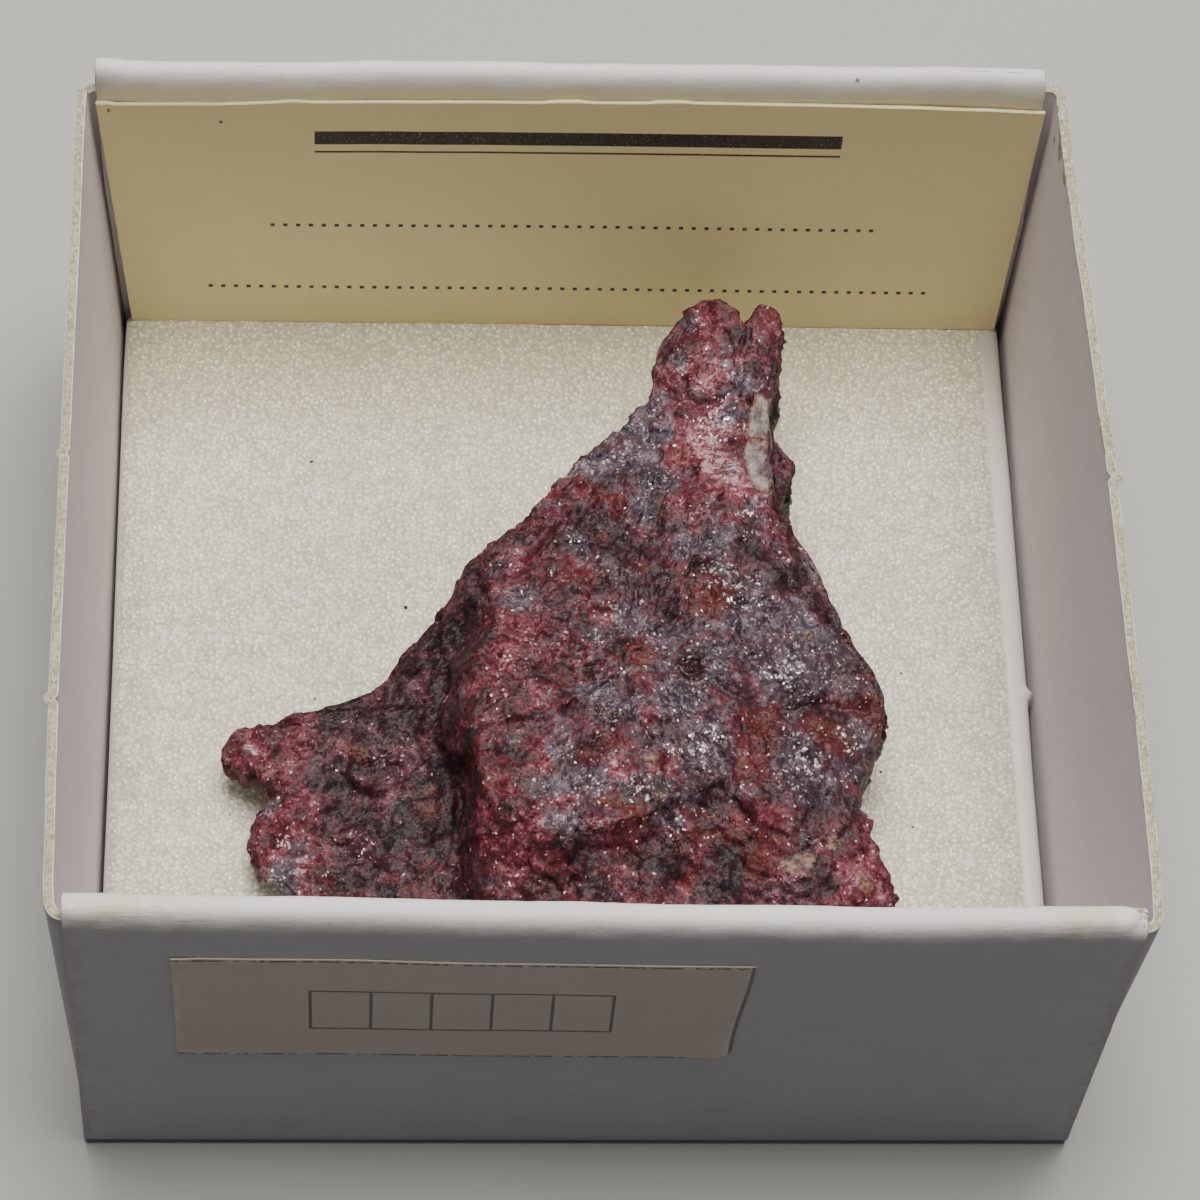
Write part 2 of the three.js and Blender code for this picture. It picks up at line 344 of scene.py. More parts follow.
def new_group(name, inputs, outputs):
    """An empty node group with these sockets. Gives its wires, its inputs as signals and a
    function that ends it by feeding the outputs."""
    tree = bpy.data.node_groups.new(name, "ShaderNodeTree")
    for way, sockets in (("INPUT", inputs), ("OUTPUT", outputs)):
        for socket, kind in sockets.items():
            tree.interface.new_socket(socket, in_out=way, socket_type="NodeSocket" + kind)
    wires = Wires(tree)
    given = tree.nodes.new("NodeGroupInput").outputs
    end = tree.nodes.new("NodeGroupOutput")

    def finish(values):
        wires.dress(end, values)
        return tree

    return wires, {socket: Signal(given[socket]) for socket in inputs}, finish


def new_material(name):
    """A material with a Principled shader. Gives the material, its wires and the shader."""
    material = bpy.data.materials.new(name)
    material.use_nodes = True
    shader = material.node_tree.nodes["Principled BSDF"]
    return material, Wires(material.node_tree), shader


# ------------------------------------------------------------------ shared effects


def paper_fibre_group():
    """Pulp mottling and fibres, for board, label and sticker: cloudy noise for the mottling
    and two stretched noises, crossed, for the fibres."""
    w, given, finish = new_group("paper_fibre", {"Vector": "Vector", "Mottling": "Float"},
                                 {"Shade": "Float", "Height": "Float"})
    place = given["Vector"]
    cloud = w.noise(place, 2.6, 4, 0.6)
    fine = w.noise(place, 0.22, 3, 0.6)
    long_way = w.noise(w.vector("MULTIPLY", place, (1, 0.22, 1)), 0.12, 2, 0.5)
    cross_way = w.noise(w.vector("MULTIPLY", place, (0.2, 1, 0.35)), 0.13, 2, 0.5)
    fibres = long_way * 0.5 + cross_way * 0.5
    shade = 1.0 + (swing(cloud, 0.9) + swing(fibres, 0.7)) * given["Mottling"]
    return finish({"Shade": shade, "Height": fine * 0.4 + fibres * 0.6})


def edge_wear_group():
    """Handling dirt and rubbing near a cut edge: the distance to the edge is compared with
    a width that noise makes uneven."""
    w, given, finish = new_group("edge_wear",
                                 {"Vector": "Vector", "Edge": "Float", "Width": "Float"},
                                 {"Mask": "Float"})
    ragged = w.noise(given["Vector"], 0.7, 4, 0.65)
    width = given["Width"] * w.step(ragged, 0.35, 0.7, 0.05, 1.6)
    share = w.math("DIVIDE", given["Edge"], width)
    return finish({"Mask": w.fall(share, 0.5, 1.3)})


def dark_specks_group():
    """Sparse dust specks: the middles of a few scattered cells, chosen by their own random
    shade."""
    w, given, finish = new_group("dark_specks", {"Vector": "Vector", "Share": "Float"},
                                 {"Mask": "Float"})
    size = 1.9
    pick = w.parts(w.cells(given["Vector"], size))[0]
    core = w.fall(w.cells(given["Vector"], size, "Distance"), 0.03, 0.07)
    chosen = w.math("LESS_THAN", pick, given["Share"])
    return finish({"Mask": core * chosen})


def printed_bar_group():
    """A printed bar: ink where a point is within half a length and half a height of the
    bar's centre, thinned a little by the paper's grain. A pitch above 0 breaks the bar
    into dots this far apart."""
    w, given, finish = new_group("printed_bar",
                                 {"Vector": "Vector", "Centre X": "Float", "Centre Z": "Float",
                                  "Half Length": "Float", "Half Height": "Float",
                                  "Pitch": "Float"}, {"Mask": "Float"})
    x, _, z = w.parts(given["Vector"])
    soft = 0.025
    masks = []
    for value, centre, half in ((x, "Centre X", "Half Length"), (z, "Centre Z", "Half Height")):
        away = w.math("ABSOLUTE", value * (1 / MM) + given[centre] * -1.0)
        masks.append(w.fall(away + given[half] * -1.0, -soft, soft))
    pitch = w.larger(given["Pitch"], 0.001)
    share = w.math("FRACT", w.math("DIVIDE", x * (1 / MM), pitch))
    dot = w.fall(w.math("ABSOLUTE", share + -0.5), 0.14, 0.2)
    dot = w.larger(dot, w.math("LESS_THAN", given["Pitch"], 0.01))
    worn = w.step(w.noise(given["Vector"], 0.09, 2), 0.28, 0.42, 0.72, 1.0)
    return finish({"Mask": masks[0] * masks[1] * (worn * dot)})


# the ore's pulls: Dark stands for dark matrix and for painted shade, Glint gathers painted glints
PULLS = ("Dark", "Ember", "Rose", "Silver", "Pale", "Glint")


def mineral_grains_group():
    """Cinnabar grains in dark matrix. Broad noise, finer noise and a random shade per grain
    add up to a tone that runs from near-black through crimson to pink; a second mask swaps
    in violet-grey matrix. Marks pull towards dark matrix and painted shade, orange-red, rose,
    silver-grey or cream, or gather painted glints; where rose and silver meet, a painted
    sheen lightens the tone; a pale mark above 1 is white stone, and in dark places red and
    grey mingle."""
    w, given, finish = new_group("mineral_grains",
                                 {"Vector": "Vector", **dict.fromkeys(PULLS, "Float")},
                                 {"Colour": "Color", "Metal": "Float", "Roughness": "Float",
                                  "Height": "Float"})
    place = given["Vector"]
    bent = w.warped(place, 0.3, 0.6, 0.15)
    grain = w.parts(w.cells(bent, 0.19))
    tiny = w.parts(w.cells(bent, 0.095))
    coarse = w.noise(place, 1.7, 4, 0.62)
    medium = w.noise(bent, 0.62, 4, 0.62)
    fine = w.noise(place, 0.15, 3, 0.65)
    dark, ember_mark, rose, silver, pale_mark, glint = (given[pull] for pull in PULLS)
    streak = w.noise(w.vector("MULTIPLY", bent, (0.35, 1, 1)), 0.22, 3, 0.6)
    # painted sheen: streaks of brighter tone where rose and silver meet
    painted_sheen = rose * silver * w.step(streak, 0.37, 0.6)
    # tone, and its colours as red ore and as violet-grey matrix
    uneven = swing(coarse, 1.35) + swing(medium, 1.12) + swing(fine, 0.42)
    uneven += swing(grain[0], 0.24) + swing(tiny[0], 0.3)
    tone = 0.45 + uneven * (1.0 + silver * -0.46)
    tone += rose * 0.045 + silver * 0.05
    # the dark pull lowers the tone, for dark matrix and for painted shade on the shelf, the broken
    # sides, hollows, cracks and under the crease
    tone += painted_sheen * 0.42 + dark * -0.31
    red = w.ramp(tone,
                 [(0.0, (0.009, 0.003, 0.005)), (0.25, (0.029, 0.0042, 0.0078)),
                  (0.5, (0.083, 0.0105, 0.0195)), (0.7, (0.155, 0.027, 0.045)),
                  (0.87, (0.27, 0.09, 0.12)), (1.0, (0.44, 0.26, 0.3))])
    slate = w.ramp(tone,
                   [(0.0, (0.008, 0.0055, 0.0078)), (0.25, (0.026, 0.0165, 0.0222)),
                    (0.5, (0.07, 0.047, 0.063)), (0.72, (0.135, 0.1, 0.129)),
                    (0.87, (0.24, 0.195, 0.235)), (1.0, (0.42, 0.36, 0.41))])
    cool = w.step(w.noise(place, 0.95, 3, 0.6), 0.48, 0.6) * (0.8 + dark * -0.8)
    slate = w.blend(cool, slate, (0.82, 1.04, 1.08), "MULTIPLY")
    slate = w.blend(dark, slate, (1.08, 0.76, 0.84), "MULTIPLY")
    # where matrix takes the red ore's place
    speckle = swing(grain[1], 0.26) + swing(tiny[2], 0.3)
    grey = 0.4 + (swing(w.noise(place, 1.3, 5, 0.66), 2.2) + speckle)
    grey += silver * 0.52 + rose * -0.46
    grey += ember_mark * -0.35
    grey_mask = w.step(grey, 0.24, 0.8)
    grey_share = grey_mask * 0.92
    mingled = w.step(dark, 0.05, 0.6, 0.0, 0.85) * (0.42 + grey_share * -1.0)
    shade = w.blend(grey_share + mingled, red, slate)
    # orange-red patches, then cream mineral and white stone
    ember_patch = swing(medium, 2.4) + swing(fine, 1.3) + swing(tiny[1], 0.3)
    ember = w.step(ember_mark * 0.85 + ember_patch, 0.45, 0.85)
    ember_shade = w.ramp(fine * 0.8 + (grain[2] * 0.15 + tiny[0] * 0.1),
                         [(0.32, (0.02, 0.0035, 0.0042)), (0.52, (0.068, 0.0085, 0.008)),
                          (0.68, (0.15, 0.021, 0.017)), (0.82, (0.34, 0.075, 0.045))])
    shade = w.blend(ember * 0.72, shade, ember_shade)
    pale = w.step(pale_mark + (swing(fine, 1.2) + swing(medium, 1.0)), 0.45, 0.95)
    pale_shade = w.ramp(fine * 0.7 + grain[0] * 0.3,
                        [(0.25, (0.1, 0.055, 0.042)), (0.7, (0.3, 0.215, 0.155))])
    stone = w.step(pale_mark, 1.15, 1.5)
    pale_shade = w.blend(stone, pale_shade,
                         w.ramp(medium,
                                [(0.36, (0.1, 0.08, 0.08)), (0.5, (0.24, 0.21, 0.2)),
                                 (0.64, (0.4, 0.36, 0.34))]))
    shade = w.blend(pale * 0.8, shade, pale_shade)
    # painted glints: a few grains get a bright colour, with more metal and less roughness; and the
    # matrix's sheen
    painted_glint_pick = tiny[1] + (silver * 0.035 + glint * 0.045)
    painted_glint_pick += dark * -0.03 + swing(medium, 0.2)
    big_painted_glint = w.step(grain[2] + glint * 0.3, 1.13, 1.2)
    painted_glint = w.larger(w.step(painted_glint_pick, 0.982, 1.01), big_painted_glint)
    painted_glint = painted_glint * w.fall(pale, 0.1, 0.5)
    # painted glint: a bright white-pink laid over the grain colour
    shade = w.blend(painted_glint * 0.85, shade, (0.8, 0.7, 0.74))
    sheen = grey_mask * w.step(silver + swing(medium, 1.5), 0.15, 0.8)
    metal = w.larger(painted_glint * 0.6, sheen * 0.28)
    rough = 0.5 + painted_glint * -0.18 + sheen * -0.1
    height = fine * 0.42 + (tiny[2] * 0.18 + medium * 0.4)
    return finish({"Colour": shade, "Metal": metal, "Roughness": rough, "Height": height})


def facet_glints_group():
    """Crystal faces too small to model: each small cell tips the surface's normal its own
    way, by its random shade as a direction."""
    w, given, finish = new_group("facet_glints",
                                 {"Vector": "Vector", "Normal": "Vector", "Tilt": "Float"},
                                 {"Normal": "Vector"})
    bent = w.warped(given["Vector"], 0.3, 0.6, 0.3)
    big = w.centred(w.cells(bent, 0.34))
    small = w.centred(w.cells(bent, 0.095))
    tip = w.scaled(w.vector("ADD", big, w.scaled(small, 1.4)), given["Tilt"])
    tipped = w.vector("ADD", given["Normal"], tip)
    return finish({"Normal": w.node("VectorMath", {0: tipped}, operation="NORMALIZE")})


paper_fibre = paper_fibre_group()
edge_wear = edge_wear_group()
dark_specks = dark_specks_group()
printed_bar = printed_bar_group()
mineral_grains = mineral_grains_group()
facet_glints = facet_glints_group()

# ------------------------------------------------------------------ finishes


def paper_stock(w, place, base, mottling, edge):
    """A base colour darkened and lightened by pulp and fibres, then soiled or rubbed near
    its cut edges; edge is the wear's width, share and colour. Gives the colour and the
    fibres' height."""
    wear_width, wear_share, wear_colour = edge
    fibre = w.group(paper_fibre, {"Vector": place, "Mottling": mottling})
    wear = w.group(edge_wear, {"Vector": place, "Edge": w.mark("edge"), "Width": wear_width})
    even = w.node("CombineXYZ", {i: fibre["Shade"] for i in range(3)})
    shade = w.blend(1.0, base, even, "MULTIPLY")
    return w.blend(wear["Mask"] * wear_share, shade, wear_colour), fibre["Height"]


def specked(w, place, shade, share, strength, colour):
    """Lays dust specks over a shade; share is the part of the cells that hold one."""
    specks = w.group(dark_specks, {"Vector": place, "Share": share})
    return w.blend(specks["Mask"] * strength, shade, colour)


def white_lined_board():
    """Tray board: white lining on both faces, yellowish-grey pulp where it is cut or torn,
    soiled a little along its edges; the back wall's roll above the label is painted with the
    warm light that the label bounces onto it."""
    material, w, shader = new_material("white_lined_board")
    place = w.place()
    across = w.math("ABSOLUTE", w.mark("across"))
    handled = w.mark("handled")
    inside = w.fall(w.mark("across"), -0.95, -0.8)
    white = w.blend(inside, (0.765, 0.738, 0.75), (0.742, 0.668, 0.74))
    # painted warm light bounced from the label onto the back wall's roll
    white = w.blend(w.mark("painted_label_bounce"), white, (0.95, 0.9, 0.63))
    lining, fibres = paper_stock(w, place, white, 0.16, (0.5, 0.22, (0.5, 0.46, 0.36)))
    stain = w.step(w.noise(place, 0.9, 5, 0.7) + handled * 0.22, 0.52, 0.8)
    lining = w.blend(stain * handled * 0.55, lining, (0.6, 0.55, 0.4))
    pulp = w.ramp(w.noise(place, 0.16, 3, 0.7),
                  [(0.3, (0.2, 0.185, 0.115)), (0.5, (0.38, 0.355, 0.24)),
                   (0.72, (0.6, 0.58, 0.46))])
    cut = w.fall(across + swing(w.noise(place, 0.3, 3), 0.3), 0.72, 0.8)
    torn = w.step(w.mark("torn") + swing(w.noise(place, 0.35, 4, 0.7), 1.2), 0.45, 0.6)
    bare = w.larger(cut, torn)
    shade = specked(w, place, w.blend(bare, lining, pulp), 0.012, 0.8, (0.1, 0.08, 0.07))
    height = fibres * 0.6 + w.noise(place, 1.1, 3) * 0.9
    rubbed = w.noise(w.vector("MULTIPLY", place, (0.12, 1, 1)), 0.16, 3, 0.6)
    height += rubbed * handled * 0.8
    height += bare * w.noise(place, 0.12, 3)
    w.dress(shader, {"Base Color": shade, "Roughness": 0.72, "Normal": w.bumped(height, 0.035)})
    return material


def white_cell_foam():
    """Packing foam: closed cells a fifth of a millimetre across and finer ones, with painted
    highlights on some cell tops and painted shade in the gaps between cells, over soft
    clouding; darker and yellower towards the label, painted as its shadow and warm bounce;
    smooth where its sides were cut and along a strip on the right."""
    material, w, shader = new_material("white_cell_foam")
    place = w.place()
    bent = w.warped(place, 0.5, 0.5, 0.2)
    dome = w.cells(bent, 0.2, "Distance")
    pick = w.parts(w.cells(bent, 0.2))
    small_dome = w.cells(bent, 0.1, "Distance")
    cloud = w.noise(place, 2.4, 4, 0.65)
    strip = w.step(w.parts(place)[0], 18.38 * MM, 18.66 * MM)
    skin = w.larger(w.fall(w.mark("across"), 0.8, 0.99), strip)
    tint = w.ramp(w.noise(place, 0.7, 2) * 0.6 + cloud * 0.4,
                  [(0.37, (0.5, 0.49, 0.385)), (0.63, (0.69, 0.66, 0.56))])
    # painted shadow and warm bounce from the label: the foam darker and yellower towards the back
    warm = w.step(w.parts(place)[1] + cloud * (2 * MM), 9.5 * MM, 19 * MM)
    shade = w.blend(warm * 0.6, tint, (0.62, 0.56, 0.36))
    # painted shade in the gaps between cells
    gap = w.step(dome, 0.4, 0.72)
    shade = w.blend(gap * 0.5, shade, (0.34, 0.33, 0.27))
    # painted highlights on the tops of some cells
    painted_cell_highlight = w.step(pick[0], 0.12, 0.85) * w.fall(dome, 0.12, 0.46)
    shade = w.blend(painted_cell_highlight, shade, (0.97, 0.96, 0.88))
    # painted highlights on some of the finer cells
    small = w.step(pick[1], 0.3, 0.9) * w.fall(small_dome, 0.05, 0.42)
    shade = w.blend(small * 0.35, shade, (0.9, 0.89, 0.82))
    shade = w.blend(skin, shade, (0.7, 0.68, 0.6))
    # the smooth strip is also painted darker and yellower towards the label
    smooth_shade = w.blend(warm * 0.6, (0.685, 0.66, 0.635), (0.4, 0.36, 0.27))
    shade = w.blend(strip, shade, smooth_shade)
    shade = specked(w, place, shade, 0.012, 0.6, (0.16, 0.12, 0.09))
    height = dome * -1.0 + pick[1] * 0.5
    height = height * (1.0 + skin * -1.0) + cloud * 1.5
    w.dress(shader, {"Base Color": shade, "Roughness": 0.4, "Normal": w.bumped(height, 0.05)})
    return material


def printed(w, place, face, bars, shade, ink):
    """Lays printed bars (centre x and z, half length and height, pitch) over a shade."""
    for x, z, half_length, half_height, pitch in bars:
        bar = w.group(printed_bar, {
            "Vector": place, "Centre X": x, "Centre Z": z, "Half Length": half_length,
            "Half Height": half_height, "Pitch": pitch})
        shade = w.blend(bar["Mask"] * face, shade, ink)
    return shade


# two small brown stains on the label: centre x and z, half length and height, no dots
LABEL_STAINS = [(-14.98, 16.98, 0.07, 0.09, 0), (-19.60, 17.70, 0.05, 0.12, 0)]


def buff_label_card(bars):
    """Label: buff card with a ruled heading and writing lines, paler where it is cut."""
    material, w, shader = new_material("buff_label_card")
    place = w.place()
    shade, fibres = paper_stock(w, place, (0.865, 0.757, 0.405), 0.1,
                                (0.22, 0.3, (0.8, 0.73, 0.47)))
    face = w.step(w.mark("across"), 0.6, 0.9)
    shade = printed(w, place, face, bars, shade, (0.03, 0.022, 0.02))
    shade = printed(w, place, face, LABEL_STAINS, shade, (0.2, 0.13, 0.07))
    cut = w.fall(w.math("ABSOLUTE", w.mark("across")), 0.7, 0.9)
    shade = w.blend(cut, shade, (0.72, 0.66, 0.46))
    shade = specked(w, place, shade, 0.03, 0.7, (0.18, 0.12, 0.06))
    w.dress(shader, {"Base Color": shade, "Roughness": 0.66, "Normal": w.bumped(fibres, 0.018)})
    return material


def cream_sticker_paper(bars):
    """Sticker: cream paper with a broken trim line along its top and foot, a painted shadow as a
    solid dark line down its right-hand end, and a row of empty number cells."""
    material, w, shader = new_material("cream_sticker_paper")
    place = w.place()
    shade, fibres = paper_stock(w, place, (0.73, 0.625, 0.545), 0.1,
                                (0.3, 0.35, (0.88, 0.83, 0.72)))
    face = w.step(w.mark("across"), 0.6, 0.9)
    ink = (0.045, 0.038, 0.034)
    shade = printed(w, place, face, bars, shade, ink)
    broken = w.step(w.noise(place, 0.5, 3, 0.7), 0.4, 0.52)
    top_trim = w.fall(w.mark("from_top"), 0.16, 0.24) * w.step(w.mark("from_top"), 0.05, 0.11)
    trims = w.larger(top_trim, w.fall(w.mark("from_foot"), 0.07, 0.13))
    # painted shadow: a solid dark line down the right-hand end
    end = w.fall(w.mark("from_right"), 0.1, 0.18)
    line = w.larger(trims * broken, end * 0.9)
    shade = w.blend(line * face, shade, ink)
    w.dress(shader, {"Base Color": shade, "Roughness": 0.5, "Normal": w.bumped(fibres, 0.012)})
    return material


def cinnabar_ore(name, pulls=None):
    """Ore: the grain colours, grains in relief, and tipped crystal faces that glint. pulls
    holds a number for each of the six pulls; without it, the mesh's own marks are read."""
    material, w, shader = new_material(name)
    place = w.place()
    pulls = pulls or {pull: w.mark(pull.lower()) for pull in PULLS}
    grains = w.group(mineral_grains, {"Vector": place, **pulls})
    relief = w.bumped(grains["Height"], 0.075)
    tilt = 0.32 + grains["Metal"] * 0.43
    glint = w.group(facet_glints, {"Vector": place, "Normal": relief, "Tilt": tilt})
    w.dress(shader, {"Base Color": grains["Colour"], "Metallic": grains["Metal"],
                     "Roughness": grains["Roughness"], "Normal": glint["Normal"],
                     "Specular IOR Level": 0.36})
    return material


# ------------------------------------------------------------------ card tray

BOARD = 0.39                      # one layer of board
HALF_BASE = 19.95                 # half the tray's outer width and depth at the bottom
ROLL_TOP, SIDE_TOP = 19.75, 18.75
ROLL_DEPTH = 1.18                 # outer panel, corner tab and inner flap together
FOOT_FOLD = 0.21                  # radius of the fold at the walls' foot, down the board's middle
# outward lean of the front (-1) and back (1) wall's top against x: both are warped
LEAN = {-1: [(-18.0, -0.31), (-11.5, -0.21), (-3.6, -0.07), (4.3, 0.07), (10.7, 0.15),
             (18.6, 0.05)],
        1: [(-17.0, 0.07), (-12.0, 0.13), (-8.0, 0.25), (0.0, 0.30), (8.0, 0.30),
            (16.0, 0.38), (19.0, 0.34)]}
# x of each rolled wall's two ends at the top, front then back
ROLL_ENDS = {-1: (-19.82, 20.22), 1: (-20.07, 19.26)}
BOARD_RIM = [(1, 0), (0.86, 0.018), (0.45, 0.03), (0, 0.035), (-0.45, 0.03), (-0.86, 0.018),
             (-1, 0)]
# outer edge of each side wall's top, x against y, from years of handling
SIDE_TOP_X = {
    -1: [(-19.7, 20.52), (-17.2, 20.66), (-12.1, 20.73), (-8.7, 20.77), (0, 20.84),
         (10, 20.82), (17.8, 20.84), (19.7, 20.80)],
    1: [(-19.7, 20.94), (-17, 21.02), (-10, 21.03), (-6.5, 20.96), (-3, 20.90), (0.8, 20.84),
        (4.6, 20.70), (8.5, 20.57), (12.4, 20.40), (16.5, 20.26), (18.5, 20.24), (19.7, 20.24)],
}
# burrs that the cutting die left on the side walls' top edges: y, reach
NICKS = {-1: [(-9.9, 0.20), (1.1, 0.14)], 1: [(0.5, 0.34)]}


def side_reach(side, y, z):
    """Outer half-width of the tray at a side wall: the base plus the top's flare, in
    proportion to height."""
    return HALF_BASE + (station_value(SIDE_TOP_X[side], y) - HALF_BASE) * z / SIDE_TOP


def wall_lean(x, z, side):
    """How far a rolled wall's board stands out of upright: its lean at this x, in
    proportion to height, and a broad soft unevenness."""
    at = joined(x, z * 0.7, 31.0 * side)
    return station_value(LEAN[side], x) * z / ROLL_TOP + 0.02 * lumps(at, 13.0, 11) * smooth(z / 4)


def rolled_wall_path(near_round, near_drop):
    """Depth into the tray, height and layer (0 flap, 1 roll, 2 panel) down the middle of
    the board: up the inner flap, over the roll in a quarter ellipse, a short flat and a
    second quarter ellipse, down the outer panel and round the bottom fold in a quarter
    circle."""
    half, fold = BOARD / 2, FOOT_FOLD
    inner = ROLL_DEPTH - half
    top = ROLL_TOP - half
    far_round, far_drop = 0.41, 0.95
    near, far = inner - near_round, half + far_round
    turn = np.linspace(0, np.pi / 2, 11)
    flat = np.linspace(near, far, 5)[1:-1]
    roll_d = np.concatenate([near + near_round * np.cos(turn), flat,
                             far - far_round * np.sin(turn)])[1:-1]
    roll_z = np.concatenate([top - near_drop * (1 - np.sin(turn)), top + 0 * flat,
                             top - far_drop * (1 - np.cos(turn))])[1:-1]
    flap_z = cut_spacing(1.3, top - near_drop, 34)
    panel_z = np.linspace(top - far_drop, half + fold, 44)
    bend = np.linspace(0, np.pi / 2, 9)[1:]
    depth = np.concatenate([inner + 0 * flap_z, roll_d, half + 0 * panel_z,
                            half + fold - fold * np.cos(bend)])
    height = np.concatenate([flap_z, roll_z, panel_z, half + fold - fold * np.sin(bend)])
    layer = np.repeat([0, 1, 2], [len(flap_z), len(roll_z), len(panel_z) + len(bend)])
    return depth, height, layer


def tray_strip(material):
    """Front wall, floor and back wall as one folded strip of board: the front wall's path,
    the floor, then the back wall's path from its foot, whose roll is rounder inside. Each
    point is swept across the tray in x."""
    depth, height, layer = rolled_wall_path(near_round=0.27, near_drop=0.27)
    back_depth, back_height, _ = rolled_wall_path(near_round=0.36, near_drop=0.90)
    floor_end = HALF_BASE - BOARD / 2 - FOOT_FOLD
    floor_y = np.linspace(-floor_end, floor_end, 40)[1:-1]
    floor_z = np.full_like(floor_y, BOARD / 2)
    z = np.concatenate([height, floor_z, back_height[::-1]])[:, None]
    full = np.ones(len(depth))
    side = np.concatenate([-full, np.sign(floor_y), full])[:, None]
    wall = np.concatenate([full, 0 * floor_y, full])[:, None]
    kind = np.concatenate([layer, np.full(len(floor_y), 3), layer[::-1]])[:, None]
    y = np.concatenate([depth - HALF_BASE, floor_y, HALF_BASE - back_depth[::-1]])[:, None]
    ends = []
    for end in (0, 1):
        sign = 2 * end - 1
        top = np.where(side < 0, ROLL_ENDS[-1][end], ROLL_ENDS[1][end])
        x = mix(sign * HALF_BASE, top, z / ROLL_TOP)
        inside = sign * (side_reach(sign, y, np.minimum(z, SIDE_TOP)) - BOARD - 0.1)
        flap = (kind == 0) & (np.abs(x) > np.abs(inside))
        x = np.where(flap, mix(x, inside, smooth((19.0 - z) / 0.5)), x)
        ends.append(np.where(kind == 3, sign * (HALF_BASE - 0.25), x))
    t = cut_spacing(0, 1, 116, first=0.001, crowd=0.55)[None, :]
    x = mix(ends[0], ends[1], t)
    z, y, side = (np.broadcast_to(a, x.shape).copy() for a in (z, y, side))
    y += side * wall * np.where(side < 0, wall_lean(x, z, -1), wall_lean(x, z, 1))
    grid = joined(x, y, z)
    normal = grid_normals(grid)
    on_roll = smooth((z - 17.6) / 1.6) * wall
    crinkle = 0.022 * lumps(grid * [1, 0.6, 0.6], 1.5, 21) + 0.018 * lumps(grid, 0.6, 22)
    crinkle += 0.012 * lumps(grid * [1.6, 0.5, 0.5], 0.3, 26)
    crinkle += 0.03 * bump_at(z, 18.7, 0.45) * lumps(grid * [1, 1, 0.5], 0.9, 27)
    grid = grid + normal * (crinkle * on_roll)[..., None]
    grid[..., 2] += on_roll * 0.05 * lumps(joined(x, side * 7, 0), 4.0, 23)
    # the back wall's left end stands a little proud, the front wall's right end is crushed
    proud = bump_at(x, -20.0, 0.9) * (side > 0) * on_roll
    grid[..., 2] += 0.22 * proud
    crush = bump_at(x, 20.05, 0.42) * bump_at(z, 19.55, 0.42) * (side < 0)
    grid = grid - normal * (0.20 * crush * (1.0 + lumps(grid, 0.35, 24)))[..., None]
    points, faces, across, edge = thick_sheet(grid, BOARD / 2, BOARD_RIM)
    rough = np.abs(across) < 0.95
    points = points + rough[:, None] * 0.02 * lumps(points, 0.22, 25)[:, None]
    px, py, pz = points.T
    torn = 0.8 * bump_at(px, 20.05, 0.30) * bump_at(pz, 19.75, 0.35) * (py < 0)
    torn += 0.55 * bump_at(px, -20.05, 0.2) * bump_at(pz, 19.7, 0.5)
    handled = 0.25 + 0.75 * (py < 0) * (bump_at(px, -17.5, 3.2) + bump_at(px, 17.8, 2.2))
    handled = handled * smooth((pz - 18.2) / 1.2)
    # painted warm light bounced from the label onto the back wall's roll just above it
    painted_label_bounce = 0.95 * smooth((19.6 - pz) / 1.0) * smooth((pz - 17.0) / 0.6)
    painted_label_bounce = painted_label_bounce * (py > 17.0) * (py < 19.6) * (across > 0)
    return make_piece("tray_front_floor_back", points, faces, material,
                      {"across": across, "edge": edge, "torn": torn, "handled": handled,
                       "painted_label_bounce": painted_label_bounce})


